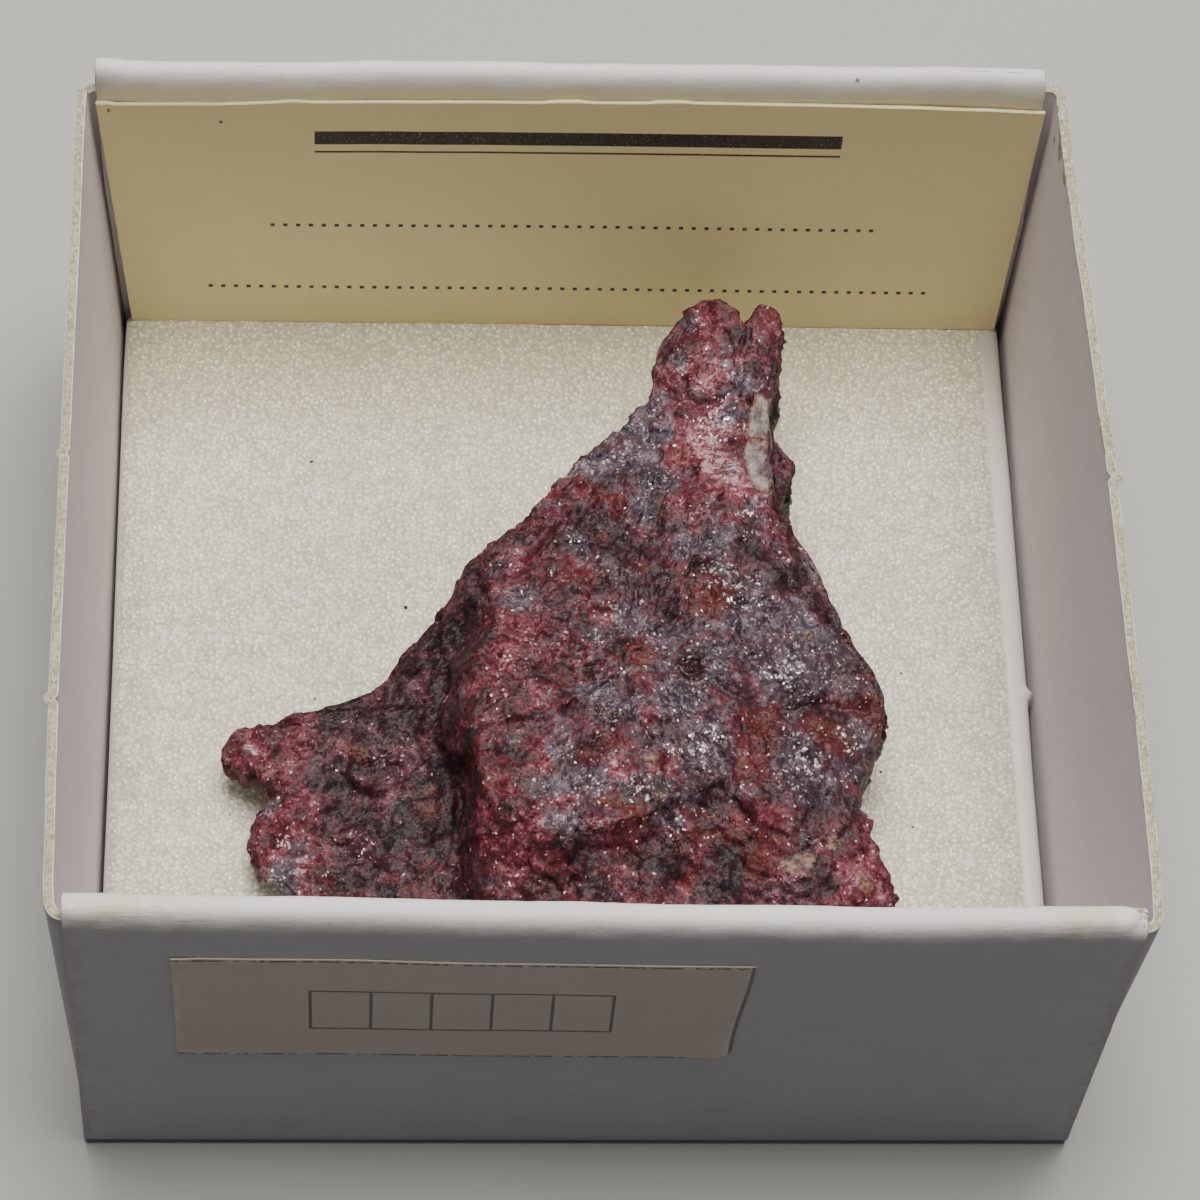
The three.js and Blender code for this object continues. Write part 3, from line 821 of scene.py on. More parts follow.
def side_wall(side, material):
    """One side wall with the tabs that tuck into the rolled walls: a plan path (front tab,
    quarter circle, wall, quarter circle, back tab) carried down from the top edge, with
    the wall's flare growing with height and a small heel where it folds to the floor."""
    fold, tab = 0.5, 6.0
    z = SIDE_TOP - cut_spacing(0, SIDE_TOP - 0.02, 64)[:, None]
    end = np.full_like(z, side * HALF_BASE)
    front = -(HALF_BASE - 1.5 * BOARD - 0.01 + wall_lean(end, z, -1))
    back = HALF_BASE - 1.5 * BOARD - 0.01 + wall_lean(end, z, 1)
    turn = np.linspace(0, np.pi / 2, 10)[None, 1:-1]
    run = cut_spacing(0, tab, 9)[None, :]
    extra = [np.linspace(y - 0.4, y + 0.4, 13) for y, _ in NICKS[side]]
    start, run_length = -18.9, 37.6
    lines = np.sort(np.concatenate([np.linspace(-18.4, 18.2, 190), *extra]))
    share = np.concatenate([[0], (lines - start) / run_length, [1]])[None, :]

    def mid_reach(y):
        return side_reach(side, y, z) - BOARD / 2

    corner_f, corner_b = mid_reach(front), mid_reach(back)
    y_wall = mix(front + fold, back - fold, share)
    reach = np.concatenate([
        corner_f - fold - tab + run, corner_f - fold + fold * np.sin(turn), mid_reach(y_wall),
        corner_b - fold + fold * np.cos(turn), corner_b - fold - run], axis=1)
    inward = side * (HALF_BASE - tab + run) + 0 * z
    tab_front = front - wall_lean(inward, z + 0 * run, -1) + wall_lean(end, z, -1)
    tab_back = back + wall_lean(inward[:, ::-1], z + 0 * run, 1) - wall_lean(end, z, 1)
    y = np.concatenate([
        tab_front, front + fold - fold * np.cos(turn), y_wall,
        back - fold + fold * np.sin(turn), tab_back], axis=1)
    z = np.broadcast_to(z, reach.shape).copy()
    heel = 0.45
    low = np.clip((heel - z) / heel, 0, 1)
    reach = reach - heel * (1 - np.sqrt(1 - low**2))
    reach += 0.035 * lumps(joined(y, z, side * 40), 9.0, 31)
    for place, out in NICKS[side]:
        reach += out * bump_at(y, place, 0.13) * smooth((z - SIDE_TOP + 0.45) / 0.45)
    z += 0.03 * smooth((z - 17) / 1.5) * lumps(joined(y, 0, side * 9), 2.5, 32)
    if side < 0:          # the left wall's back corner is cut lower
        z -= 0.55 * smooth((y - 18.75) / 0.5) * smooth((z - 15) / 3.75)
    grid = joined(side * reach, y, z)
    if side < 0:
        grid = grid[:, ::-1]
    points, faces, across, edge = thick_sheet(grid, BOARD / 2, BOARD_RIM)
    rough = np.abs(across) < 0.95
    points = points + rough[:, None] * 0.02 * lumps(points, 0.2, 33)[:, None]
    points[:, 2] = np.maximum(points[:, 2], 0.01)
    near_top = smooth((points[:, 2] - SIDE_TOP + 0.5) / 0.45)
    scuff = 0.35 + 0.5 * lumps(points * [0, 1, 0] + [side * 3, 0, 0], 2.4, 34)
    torn = near_top * np.clip(scuff, 0, 1) * (0.8 if side > 0 else 0.5)
    if side > 0:          # patches of lining torn off the right wall near the back
        for spot_y, spot_z, radius in ((16.8, 18.2, 0.5), (15.2, 18.5, 0.35), (17.9, 17.6, 0.3)):
            torn += bump_at(points[:, 1], spot_y, radius) * bump_at(points[:, 2], spot_z, radius)
    handled = 0.35 * smooth((points[:, 2] - SIDE_TOP + 1.5) / 1.5)
    name = "tray_left_side" if side < 0 else "tray_right_side"
    return make_piece(name, points, faces, material,
                      {"across": across, "edge": edge, "torn": torn, "handled": handled,
                       "painted_label_bounce": 0 * handled})


# ------------------------------------------------------------------ foam, label, sticker


def foam_cushion(material):
    """The foam pad: a thick sheet with rounded sides. Its top rises and dips by a few
    hundredths, and its sides wander, as foam does when it is cut with a warm wire. A
    shallow groove sets off a smooth strip on the right, where a nub of foam stands out."""
    left, right, deep = -19.48, 19.36, 18.6
    round_off, half, underside = 0.5, 1.45, 0.42
    groove_x, nub_y = 18.48, -0.53
    x_lines = cut_spacing(left + round_off, right - round_off, 200, 0.08)
    y_lines = cut_spacing(deep - round_off, round_off - deep, 190, 0.08)
    y, x = np.meshgrid(y_lines, x_lines, indexing="ij")
    grid = joined(x, y, underside + half)
    near = smooth(1 - (np.maximum(np.abs(x + 0.05) / 18.9, np.abs(y) / 18.1) - 0.9) / 0.1)
    wander = lumps(grid, 5.0, 41) * (1 - near)
    grid[..., 0] += 0.05 * wander * np.sign(x)
    grid[..., 0] += 0.24 * bump_at(y, nub_y, 0.22) * smooth((x - 18.3) / 0.5)
    turn = np.linspace(0, np.pi / 2, 8)
    upper = [(1 - round_off / half * (1 - math.cos(a)), round_off * math.sin(a)) for a in turn]
    points, faces, across, edge = thick_sheet(
        grid, half, upper + [(0, round_off)] + [(-a, o) for a, o in upper[::-1]])
    lift = 0.035 * lumps(points, 3.2, 42) + 0.02 * lumps(points, 0.9, 43)
    lift -= 0.07 * bump_at(points[:, 0], groove_x, 0.09)
    points[:, 2] += lift * smooth(across)
    cushion = make_piece("foam_cushion", points, faces, material,
                         {"across": across, "edge": edge})
    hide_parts("foam_pad")
    return cushion


PAPER_RIM = [(1, 0), (0.5, 0.02), (-0.5, 0.02), (-1, 0)]
CARD_HALF, STICKER_HALF = 0.085, 0.032      # half the label's and the sticker's thickness
# the label's top edge: x, y of the middle of the card, and height
LABEL_TOP = [(-20.1, 18.70, 18.04), (-15.7, 18.76, 18.05), (-11.6, 18.80, 18.22),
             (-7.4, 18.87, 18.23), (-3.3, 18.93, 18.25), (0.85, 18.96, 18.28),
             (5.0, 18.97, 18.33), (9.1, 18.96, 18.31), (13.3, 18.96, 18.25),
             (16.6, 18.97, 18.14), (19.44, 18.97, 18.02)]


def label(material):
    """The label: a thin card that leans back against the roll along its middle, its two
    ends bowed forward. Each point lies between the top edge's line and a straight foot; a
    few burrs stand on the top edge."""
    t = cut_spacing(0, 1, 50, 0.003)[:, None]           # 0 top edge .. 1 foot
    s = cut_spacing(0, 1, 110, 0.001)[None, :]          # 0 left .. 1 right
    top_x = mix(LABEL_TOP[0][0], LABEL_TOP[-1][0], s)
    top_y = station_value([(x, y) for x, y, _ in LABEL_TOP], top_x)
    top_z = station_value([(x, z) for x, _, z in LABEL_TOP], top_x)
    foot_left, foot_right, foot_y, foot_z = -19.2, 19.15, 18.02, 3.345
    x = mix(top_x, mix(foot_left, foot_right, s), t)
    y, z = mix(top_y, foot_y, t), mix(top_z, foot_z, t)
    grid = joined(x, y, z)
    grid[..., 1] += 0.02 * lumps(grid, 9.0, 51)
    burrs = lumps(joined(x, 0, 0), 1.1, 52)
    grid[..., 2] += 0.10 * smooth((burrs - 0.62) / 0.25) * (t < 0.002)
    points, faces, across, edge = thick_sheet(grid, CARD_HALF, PAPER_RIM)
    made = make_piece("label", points, faces, material,
                      {"across": across, "edge": edge})
    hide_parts("label_card")
    return made


def sticker(material):
    """The sticker: thin paper that follows the front wall, its right-hand end slanted and
    its lower right corner rounded: each row ends where a quarter circle meets the slant."""
    left, right, foot, tall, taper, radius = -15.95, 5.85, 8.55, 8.15, 0.35, 1.1
    stand = 0.055                    # its middle, in front of the wall's
    h = tall - cut_spacing(0, tall, 54)[:, None]
    slant = right - taper + taper * smooth((h - radius) / (tall - radius))
    drop = np.clip(radius - h, 0, radius)
    end = slant - radius + np.sqrt(np.maximum(radius**2 - drop**2, 0))
    s = cut_spacing(0, 1, 100, 0.002)[None, :]
    x = mix(left, end, s)
    z = foot + h + 0 * x + 0.03 * np.sin(x * 0.5)
    wall_y = -HALF_BASE - wall_lean(x, z, -1)
    curl = 0.14 * smooth((x - 2.6) / 3.4) * smooth((radius * 2.4 - h) / 2.6)
    curl = curl + 0.05 * smooth((left + 1.2 - x) / 1.2) * smooth((h - tall + 1.6) / 1.6)
    grid = joined(x, wall_y - stand - curl, z)
    points, faces, across, edge = thick_sheet(grid, STICKER_HALF, PAPER_RIM)
    rise = points[:, 2] - foot - 0.03 * np.sin(points[:, 0] * 0.5)
    slope = right - taper + taper * smooth((rise - radius) / (tall - radius))
    made = make_piece("sticker", points, faces, material, {
        "across": across, "edge": edge, "from_top": tall - rise, "from_foot": rise,
        "from_right": slope - points[:, 0]})
    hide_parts("number_sticker")
    return made


# ------------------------------------------------------------------ slab of ore

CENTRE = np.array([1.5, -3.5])
TOP_INSET, UNDER_INSET, LIFT = 0.3, 0.5, 0.04
# the slab's outline seen from above, counter-clockwise from the right-hand corner
OUTLINE = [
    (12.7, -4.3), (12.5, -3.3), (11.4, -1.3), (10.7, 0.3), (9.9, 2.6), (9.2, 3.7),
    (8.8, 5.0), (9.2, 7.5), (8.2, 9.4), (8.6, 11.4), (8.7, 14.0), (7.9, 14.3), (7.3, 13.3),
    (6.8, 14.1), (5.7, 14.6), (4.9, 14.1), (3.6, 12.6), (3.35, 11.0), (3.2, 10.3),
    (2.6, 9.6), (1.1, 8.1), (-0.8, 6.2), (-2.7, 4.3), (-4.2, 2.6), (-5.1, 1.1),
    (-6.5, -0.3), (-7.9, -1.7), (-8.6, -2.5), (-10.7, -3.3), (-11.9, -3.5), (-13.1, -4.0),
    (-14.3, -4.2), (-14.4, -4.9), (-13.3, -6.1), (-12.6, -7.0), (-13.1, -8.1),
    (-13.4, -9.2), (-13.0, -10.3), (-12.1, -11.0), (-10.4, -13.2), (-6.5, -15.2),
    (-1.5, -14.7), (3.5, -16.2), (8.2, -15.9), (11.7, -15.3), (12.5, -12.9), (12.1, -11.6),
    (11.8, -10.3), (11.2, -9.2), (11.5, -7.1)]
# broken faces of the top, each a plane: a point, the height there, and the rise per mm
PLANES = {
    "plate": ((1, -3), 10.3, (-0.03, -0.03)), "right": ((8, -3), 9.9, (-0.36, 0.02)),
    "back": ((2, 4), 10.1, (0.12, -0.16)), "lip": ((-4.6, -9.4), 10.3, (0.62, 1.0)),
    "front": ((4, -11), 9.42, (-0.06, 0.42)), "shelf": ((-9, -6), 6.5, (0.12, 0.14)),
    "flank": ((-5, 0), 8.9, (0.3, 0.42))}
# x of the edge between the low shelf and the plate against y, and y of the arched crease
# in front of the plate against x
STEP_X = [(-16, -4.4), (-9.4, -4.5), (-8, -4.6), (-6.1, -5.2), (-3.1, -4.9), (0, -4.3),
          (2.8, -4.0)]
CREASE_Y = [(-1.2, -14), (-0.2, -11.2), (2, -10.9), (3.8, -9.9), (5.2, -9.2), (6.7, -10.1),
            (9.1, -10.8), (12, -11.4)]


def closed_outline(count):
    """Points evenly spaced round the closed outline: a centripetal Catmull-Rom curve, that
    is, cubic pieces whose end slopes weigh each chord by the square root of its length."""
    p1 = np.array(OUTLINE)
    p0, p2, p3 = np.roll(p1, 1, 0), np.roll(p1, -1, 0), np.roll(p1, -2, 0)
    d0, d1, d2 = (np.linalg.norm(b - a, axis=1)[:, None] ** 0.5
                  for a, b in ((p0, p1), (p1, p2), (p2, p3)))
    m1 = ((p1 - p0) / d0 - (p2 - p0) / (d0 + d1) + (p2 - p1) / d1) * d1
    m2 = ((p2 - p1) / d1 - (p3 - p1) / (d1 + d2) + (p3 - p2) / d2) * d1
    t = np.linspace(0, 1, 60, endpoint=False)[:, None, None]
    fine = ((2 * t**3 - 3 * t**2 + 1) * p1 + (t**3 - 2 * t**2 + t) * m1
            + (3 * t**2 - 2 * t**3) * p2 + (t**3 - t**2) * m2)
    fine = np.swapaxes(fine, 0, 1).reshape(-1, 2)
    fine = np.concatenate([fine, fine[:1]])
    length = np.concatenate([[0], np.cumsum(np.linalg.norm(np.diff(fine, axis=0), axis=1))])
    at = np.arange(count) / count * length[-1]
    return joined(*(np.interp(at, length, fine[:, k]) for k in (0, 1)))


def plane(name, x, y):
    (px, py), height, (rise_x, rise_y) = PLANES[name]
    return height + rise_x * (x - px) + rise_y * (y - py)


def slab_top(x, y):
    """Height of the slab's upper face: the lowest of its falling planes, stepped down to
    the low shelf along one edge and to the front plane along the arched crease."""
    neck = 0.7 * bump_at(y, 9.2, 1.3)
    plate = soft_min(plane("plate", x, y), plane("right", x, y), 0.6)
    plate = soft_min(plate, plane("back", x, y) + 1.1 * smooth((y - 8.5) / 3), 0.8) - neck
    shelf = soft_max(plane("shelf", x, y), plane("flank", x, y), 0.8)
    raised = soft_min(plate, plane("lip", x, y), 0.3)
    in_front = smooth((station_value(CREASE_Y, x) - y) / 0.8 + 0.5) * smooth((x + 0.9) / 0.9)
    raised = mix(raised, plane("front", x, y), in_front)
    raised = soft_max(raised, plane("shelf", x, y) - 0.2, 0.4)
    at = joined(y, x * 0.5, 0)
    step = station_value(STEP_X, y) + 0.40 * lumps(at, 1.5, 67)
    depth = np.maximum(0.12 + 0.30 * lumps(at, 1.1, 68), 0)
    crack = depth * bump_at(x - step, -0.35, 0.24) * smooth((-y - 4) / 2)
    low = mix(soft_min(shelf, plate, 0.4), plate, smooth((y - 0.8) / 2))
    run = 0.7 + 0.9 * (1 - bump_at(y, -7.8, 1.6))
    return mix(low, raised, smooth((x - step) / run + 0.5)) - crack


def top_normal(x, y):
    """Unit normal of the upper face, from the rise of slab_top over a short step each way,
    kept under 1 mm per mm by tanh so that steep steps don't fold over."""
    d = 0.04
    rise_x = np.tanh((slab_top(x + d, y) - slab_top(x - d, y)) / (2 * d))
    rise_y = np.tanh((slab_top(x, y + d) - slab_top(x, y - d)) / (2 * d))
    return unit(joined(-rise_x, -rise_y, 1))


def slab_under(x, y):
    """Height of the underside: close to the foam, lifting towards the thin edges."""
    lift = 0.13 * np.maximum(0, -x - 5.5) + 0.16 * np.maximum(0, y - 5)
    lift += 0.18 * np.maximum(0, x - 7.5) + 0.16 * np.maximum(0, -y - 11)
    return FOAM_TOP + LIFT + lift


def line_distance(x, y, line):
    """Distance of each point, seen from above, to a line of straight pieces."""
    at = joined(x, y)
    best = np.full(x.shape, np.inf)
    for a, b in zip(np.array(line[:-1], float), np.array(line[1:], float)):
        t = np.clip(((at - a) @ (b - a)) / ((b - a) @ (b - a)), 0, 1)
        best = np.minimum(best, np.linalg.norm(at - a - t[..., None] * (b - a), axis=-1))
    return best


# cracks in the upper face: half-width, depth, and the line they follow
CRACKS = [
    (0.14, 0.12, [(-0.2, -11.1), (1.4, -11.0), (2.3, -10.7), (3.2, -10.0), (3.9, -9.7),
                  (4.8, -9.4), (5.6, -9.5), (6.2, -10.0), (7.0, -10.4), (9.1, -10.8)]),
    (0.12, 0.28, [(5.7, -7.3), (5.9, -9.5), (6.6, -10.2)]),
    (0.16, 0.35, [(9.2, -4.7), (10.4, -4.5), (11.6, -4.7)]),
    (0.16, 0.16, [(-4.0, -10.0), (-2.6, -11.1), (-1.4, -12.0), (-0.3, -12.7)]),
    (0.13, 0.20, [(-3.4, -11.5), (-2.2, -12.1), (-1.0, -12.9)]),
    (0.14, 0.25, [(-2.2, 1.5), (-0.4, 4.0), (0.8, 4.6), (1.8, 4.3)]),
    (0.12, 0.22, [(3.6, 10.6), (5.0, 9.4), (6.8, 9.9), (7.3, 12.6)]),
]
# hollows in the upper face: x, y, radius and depth
HOLLOWS = [(2.3, 3.0, 1.5, 0.38), (5.2, -9.0, 0.4, 0.36), (3.2, 0.0, 0.9, 0.22),
           (6.8, -5.0, 0.5, 0.25), (-0.9, -3.5, 0.6, 0.2), (0.3, -6.9, 0.5, 0.25),
           (4.2, -3.5, 0.5, 0.2), (-9.7, -7.4, 1.3, 0.3), (3.6, -12.5, 0.7, 0.25)]

# broken grains in the surface: size, height and seed
GRAINS = [(1.9, 0.22, 70), (0.95, 0.16, 80), (0.5, 0.09, 90), (0.28, 0.05, 100)]
# where each kind of mineral gathers, and where painted shade, sheen and glints lie, seen from above: x,
# y, radius
EMBER = [
    (5.1, -0.2, 0.82), (7.2, -5.8, 0.82), (6.8, -7.0, 0.73), (9.9, -5.9, 0.73),
    (10.3, -6.3, 0.49), (11.9, -4.3, 0.61), (12.2, -5.3, 0.41), (6.6, -8.1, 0.65),
    (2.3, -3.0, 0.61), (1.3, -7.0, 0.61), (0.0, -7.8, 0.57), (2.0, -10.0, 0.65),
    (1.0, -9.7, 0.41), (4.6, -10.5, 0.73), (6.1, -10.6, 0.49), (0.6, -12.1, 0.24),
    (7.1, -11.7, 0.65), (11.3, -12.5, 0.41), (0.9, 5.1, 0.45), (1.6, 4.8, 0.37),
    (-0.0, 5.6, 0.33), (1.1, 2.8, 0.41), (2.4, 1.5, 0.37), (-0.1, 1.1, 0.49),
    (8.2, 13.4, 0.37), (4.4, 7.2, 0.57), (7.0, 8.5, 0.29), (7.6, 7.7, 0.20),
    (-6.1, -7.2, 0.41), (-6.1, -8.2, 0.33), (-6.3, -10.3, 0.24), (-6.8, -11.3, 0.29),
    (-7.8, -11.0, 0.24), (-4.4, -7.2, 0.29), (-3.9, -8.8, 0.37), (-10.8, -10.4, 0.33),
    (-9.1, -5.7, 0.49), (6.1, -0.2, 0.41), (4.2, -12.2, 0.41), (7.8, -11.0, 0.49),
    (-1.0, -12.3, 0.41)]
ROSE = [
    (-2.8, -2.0, 1.06), (-3.4, -3.3, 0.82), (-3.6, -3.8, 0.98), (-2.1, -7.6, 0.65),
    (1.2, -11.3, 0.57), (2.6, -5.7, 0.37), (6.1, -10.0, 0.29), (-13.7, -5.0, 0.98),
    (-12.2, -5.9, 1.06), (-11.4, -4.7, 0.65), (-13.0, -9.1, 0.90), (-11.5, -8.3, 0.98),
    (-10.5, -9.1, 0.57), (-10.8, -10.5, 0.57), (-4.8, -5.8, 0.41), (-4.6, -7.5, 0.41),
    (5.9, 13.5, 0.90), (5.3, 12.1, 0.65), (3.8, 10.9, 0.41), (5.6, 10.6, 0.57),
    (6.0, 8.0, 0.82), (5.6, 8.9, 0.73), (5.9, 6.4, 0.82), (6.7, 5.3, 0.65), (7.8, 4.6, 0.57),
    (8.1, 11.6, 0.41), (7.7, 9.4, 0.37), (-2.6, -5.2, 0.73), (-1.0, -9.8, 0.49),
    (-4.2, -9.7, 0.41), (10.7, -11.7, 0.82), (11.5, -10.0, 0.49), (11.9, -11.3, 0.57),
    (7.4, -10.4, 0.65), (3.0, -7.9, 0.49), (-4.2, -6.9, 0.41), (-1.1, -4.0, 0.49),
    (10.2, -13.0, 0.57), (4.6, 4.7, 0.41), (1.4, -8.4, 0.41), (-3.5, -11.2, 1.1),
    (-2.3, -11.9, 0.9), (-4.3, -10.2, 0.6), (-4.4, -6.5, 0.5), (-3.9, -8.2, 0.5),
    (5.0, 7.4, 0.8)]
# dark matrix, and painted shade in hollows, cracks and under the crease: x, y, radius
DARK_AND_SHADE_SPOTS = [
    (5.1, -9.0, 0.53), (0.1, -6.8, 0.41), (-0.9, -3.5, 0.33), (-1.1, -0.8, 0.41),
    (3.4, -0.6, 0.73), (-3.8, -2.0, 0.29), (6.7, -4.6, 0.53), (10.2, -4.8, 0.57),
    (10.2, -0.1, 0.73), (4.2, -3.4, 0.37), (3.3, -11.3, 0.73), (5.6, -11.9, 0.90),
    (9.5, -12.5, 0.57), (-0.1, -11.8, 0.49), (-4.75, -6.8, 0.38), (-4.75, -8.8, 0.42),
    (-10.5, -4.5, 0.49), (-9.8, -6.8, 0.90), (-9.9, -7.9, 0.53), (-7.8, -9.1, 0.53),
    (-9.1, -10.8, 0.57), (-6.6, -1.8, 0.82), (-5.0, -2.2, 0.82), (-7.1, -7.8, 0.82),
    (-5.4, -9.4, 0.57), (-5.2, -12.6, 0.9), (7.5, 13.5, 0.33), (7.0, 12.4, 0.41),
    (7.5, 10.8, 0.33), (1.8, 2.5, 0.73), (3.1, 2.3, 0.57), (3.1, -0.1, 0.53), (0.5, 3.8, 0.57),
    (8.8, 1.3, 0.73), (7.2, 2.2, 0.57), (1.6, -2.7, 0.41), (2.4, 0.2, 0.49), (5.0, 1.7, 0.33),
    (-1.8, -6.1, 0.33), (11.1, 0.1, 0.57), (8.4, -4.7, 0.33),
    (7.4, -9.0, 0.37)]
SILVER = [
    (8.3, -1.8, 1.88), (7.0, -0.6, 1.22), (9.4, -2.8, 1.39), (5.2, -3.5, 1.06),
    (3.9, -4.9, 0.98), (1.2, -5.6, 0.98), (2.1, -1.1, 0.65), (-2.5, -0.3, 0.65),
    (4.8, -7.1, 1.14), (0.1, -8.8, 1.14), (-1.4, -9.4, 0.73), (2.5, -9.3, 0.90),
    (8.4, -7.4, 1.14), (11.1, -5.9, 0.65), (9.0, -8.4, 1.06), (-0.9, -10.7, 0.70),
    (3.6, -10.5, 0.49), (2.8, 8.0, 1.06), (1.6, 7.0, 0.98), (3.1, 6.3, 1.06), (0.6, 6.2, 0.82),
    (3.4, 9.5, 0.41), (5.4, 2.4, 0.73), (7.1, -0.1, 1.06), (4.4, 2.5, 0.49), (2.0, -0.6, 0.57),
    (-0.1, 2.9, 0.65), (2.8, 4.3, 0.57), (-13.5, -5.0, 0.2), (-12.0, -10.2, 0.75),
    (-9.3, -9.5, 0.73), (-7.6, -5.9, 0.82), (5.0, 13.3, 0.33), (6.4, 11.0, 0.33),
    (4.4, 11.5, 0.41), (7.0, 10.6, 0.49), (2.4, -2.2, 0.73), (-1.0, -7.5, 0.57),
    (0.7, -4.7, 0.65), (10.8, -7.4, 0.49), (7.2, -3.0, 0.98), (4.6, -9.6, 0.57)]
PALE = [
    (10.0, -10.9, 0.37), (8.2, -11.9, 0.45), (11.2, -12.3, 0.41), (2.6, -7.9, 0.37),
    (9.3, -1.6, 0.33), (2.9, -9.7, 0.37), (0.9, -5.7, 0.24), (9.0, -11.6, 0.33)]
LIGHT = [(6.6, 12.2, 1.5), (5.8, 10.4, 1.4), (5.6, 8.4, 1.1), (3.2, 8.2, 1.5), (6.0, 6.0, 1.0),
         (1.4, 6.0, 1.2), (-12.0, -9.2, 1.4), (-12.8, -5.6, 0.9), (11.0, -11.6, 1.0),
         (-1.0, -8.6, 1.2), (-3.0, -3.4, 0.8)]
# a painted pink-white sheen on the thumb's neck: x, y, radius
PAINTED_SHEEN_SPOTS = [(5.9, 8.6, 0.85), (5.6, 7.6, 0.75), (5.9, 6.5, 0.7), (7.4, 4.6, 0.5), (6.7, 5.7, 0.5)]
# clusters of painted glints: x, y, radius
PAINTED_GLINT_SPOTS = [(6.5, 0.5, 1.1), (8.9, -7.4, 0.8), (5.8, 8.5, 0.9), (4.4, 4.4, 0.4), (7.0, 3.9, 0.6),
         (-12.0, -9.2, 0.35), (0.6, -2.0, 0.5), (2.2, -9.4, 0.6), (8.3, -3.0, 0.8),
         (4.6, -6.8, 0.8), (-13.1, -4.9, 0.35), (5.2, 13.2, 0.4), (10.9, -5.9, 0.5)]
# a vein of white stone along the thumb's right side, as a line, and its half-width
VEIN, VEIN_HALF = [(7.80, 9.30), (7.66, 8.40), (7.54, 7.70), (7.42, 7.10), (7.40, 6.35),
                   (7.60, 5.65)], 0.38


def gathered(x, y, spots, wobble):
    """1 in the middle of the nearest spot, falling off as a bell; the wobble bends each
    spot's rim out of round."""
    best = np.zeros(x.shape)
    for sx, sy, radius in spots:
        away = ((x - sx) ** 2 + (y - sy) ** 2) ** 0.5 / radius
        best = np.maximum(best, np.exp(-((0.8 * away * (1 + 0.45 * wobble)) ** 4)))
    return best


def way_out(line, share):
    """x and y at a share of each way from the middle to the outline. The ways set off
    towards a blurred outline, which fans them out evenly, and turn to the true one over
    the last third: the two are mixed by how far the share is past the turn."""
    blur, turn = 36, 0.65
    blurred = line
    for _ in range(2):
        blurred = sum(np.roll(blurred, k, axis=0) for k in range(-blur, blur + 1)) / (2 * blur + 1)
    spoke = line - CENTRE
    edge = spoke * (1 - TOP_INSET / np.linalg.norm(spoke, axis=1, keepdims=True))
    turned = smooth((share - turn) / (1 - turn))
    return [CENTRE[k] + share * mix(blurred[:, k] - CENTRE[k], edge[:, k], turned)
            for k in (0, 1)]


def even_rings(line, rings):
    """Share of each ring along each way out, spaced by length over the upper face, so
    steep steps get as many rings as level ground: the summed length of short chords, read
    back at even shares. Each way's chords are blurred with its neighbours' first."""
    count, chords, beside, rise_weight = len(line), 500, 5, 0.8
    fine = np.broadcast_to(np.linspace(0, 1, chords)[:, None], (chords, count))
    x, y = way_out(line, fine)
    rise = rise_weight * np.diff(slab_top(x, y), axis=0)
    chord = np.sqrt(np.diff(x, axis=0) ** 2 + np.diff(y, axis=0) ** 2 + rise**2)
    chord = sum(np.roll(chord, k, axis=1) for k in range(-beside, beside + 1))
    share = np.concatenate([np.zeros((1, count)), np.cumsum(chord, axis=0)])
    share = share / share[-1] + 2.0 * np.arange(count)
    wanted = np.linspace(0, 1, rings + 1)[1:, None] + 2.0 * np.arange(count)
    found = np.interp(wanted.T.ravel(), share.T.ravel(), fine.T.ravel())
    return found.reshape(count, rings).T


def slab_form(turns, top_rings, side_rings, under_rings):
    """Rings of points from the middle of the upper face out to the outline, down the
    broken side and back in under the slab. Along a spoke the side bulges as |1 - 2t|^1.5,
    and the upper face rounds off by 0.3 mm at its edge."""
    line = closed_outline(turns)
    spoke = line - CENTRE
    full = np.linalg.norm(spoke, axis=1)[None, :]
    top = even_rings(line, top_rings)
    side = np.linspace(0, 1, side_rings + 1)[1:, None]
    under = np.linspace(0, 1, under_rings + 1)[1:-1, None]
    reach = np.concatenate([
        full - mix(TOP_INSET, UNDER_INSET, side) * np.abs(1 - 2 * side) ** 1.5,
        (full - UNDER_INSET) * (1 - under)])
    down = np.concatenate([0 * top, side + 0 * full, 1 + 0 * under * full])
    edge = np.concatenate([smooth((top - 0.9) / 0.1), 1 + 0 * side * full, 0 * under * full])
    x, y = (np.concatenate([inner, CENTRE[k] + spoke[:, k] / full * reach])
            for k, inner in enumerate(way_out(line, top)))
    z = mix(slab_top(x, y) - 0.3 * edge, slab_under(x, y), smooth(down))
    return joined(x, y, z), down


def evened(relief, x, y):
    """Relief blurred between neighbouring spokes, over about 0.1 mm, where they crowd near
    the middle: a quarter, a half and a quarter of points 1, 2, 4 .. 32 spokes apart."""
    widest, soft = 0.11, 0.04
    gap = np.hypot(np.roll(x, -1, 1) - x, np.roll(y, -1, 1) - y)
    for apart in (1, 2, 4, 8, 16, 32):
        near = (np.roll(relief, apart, 1) + 2 * relief + np.roll(relief, -apart, 1)) / 4
        relief = mix(relief, near, smooth((widest - gap * apart) / soft))
    return relief


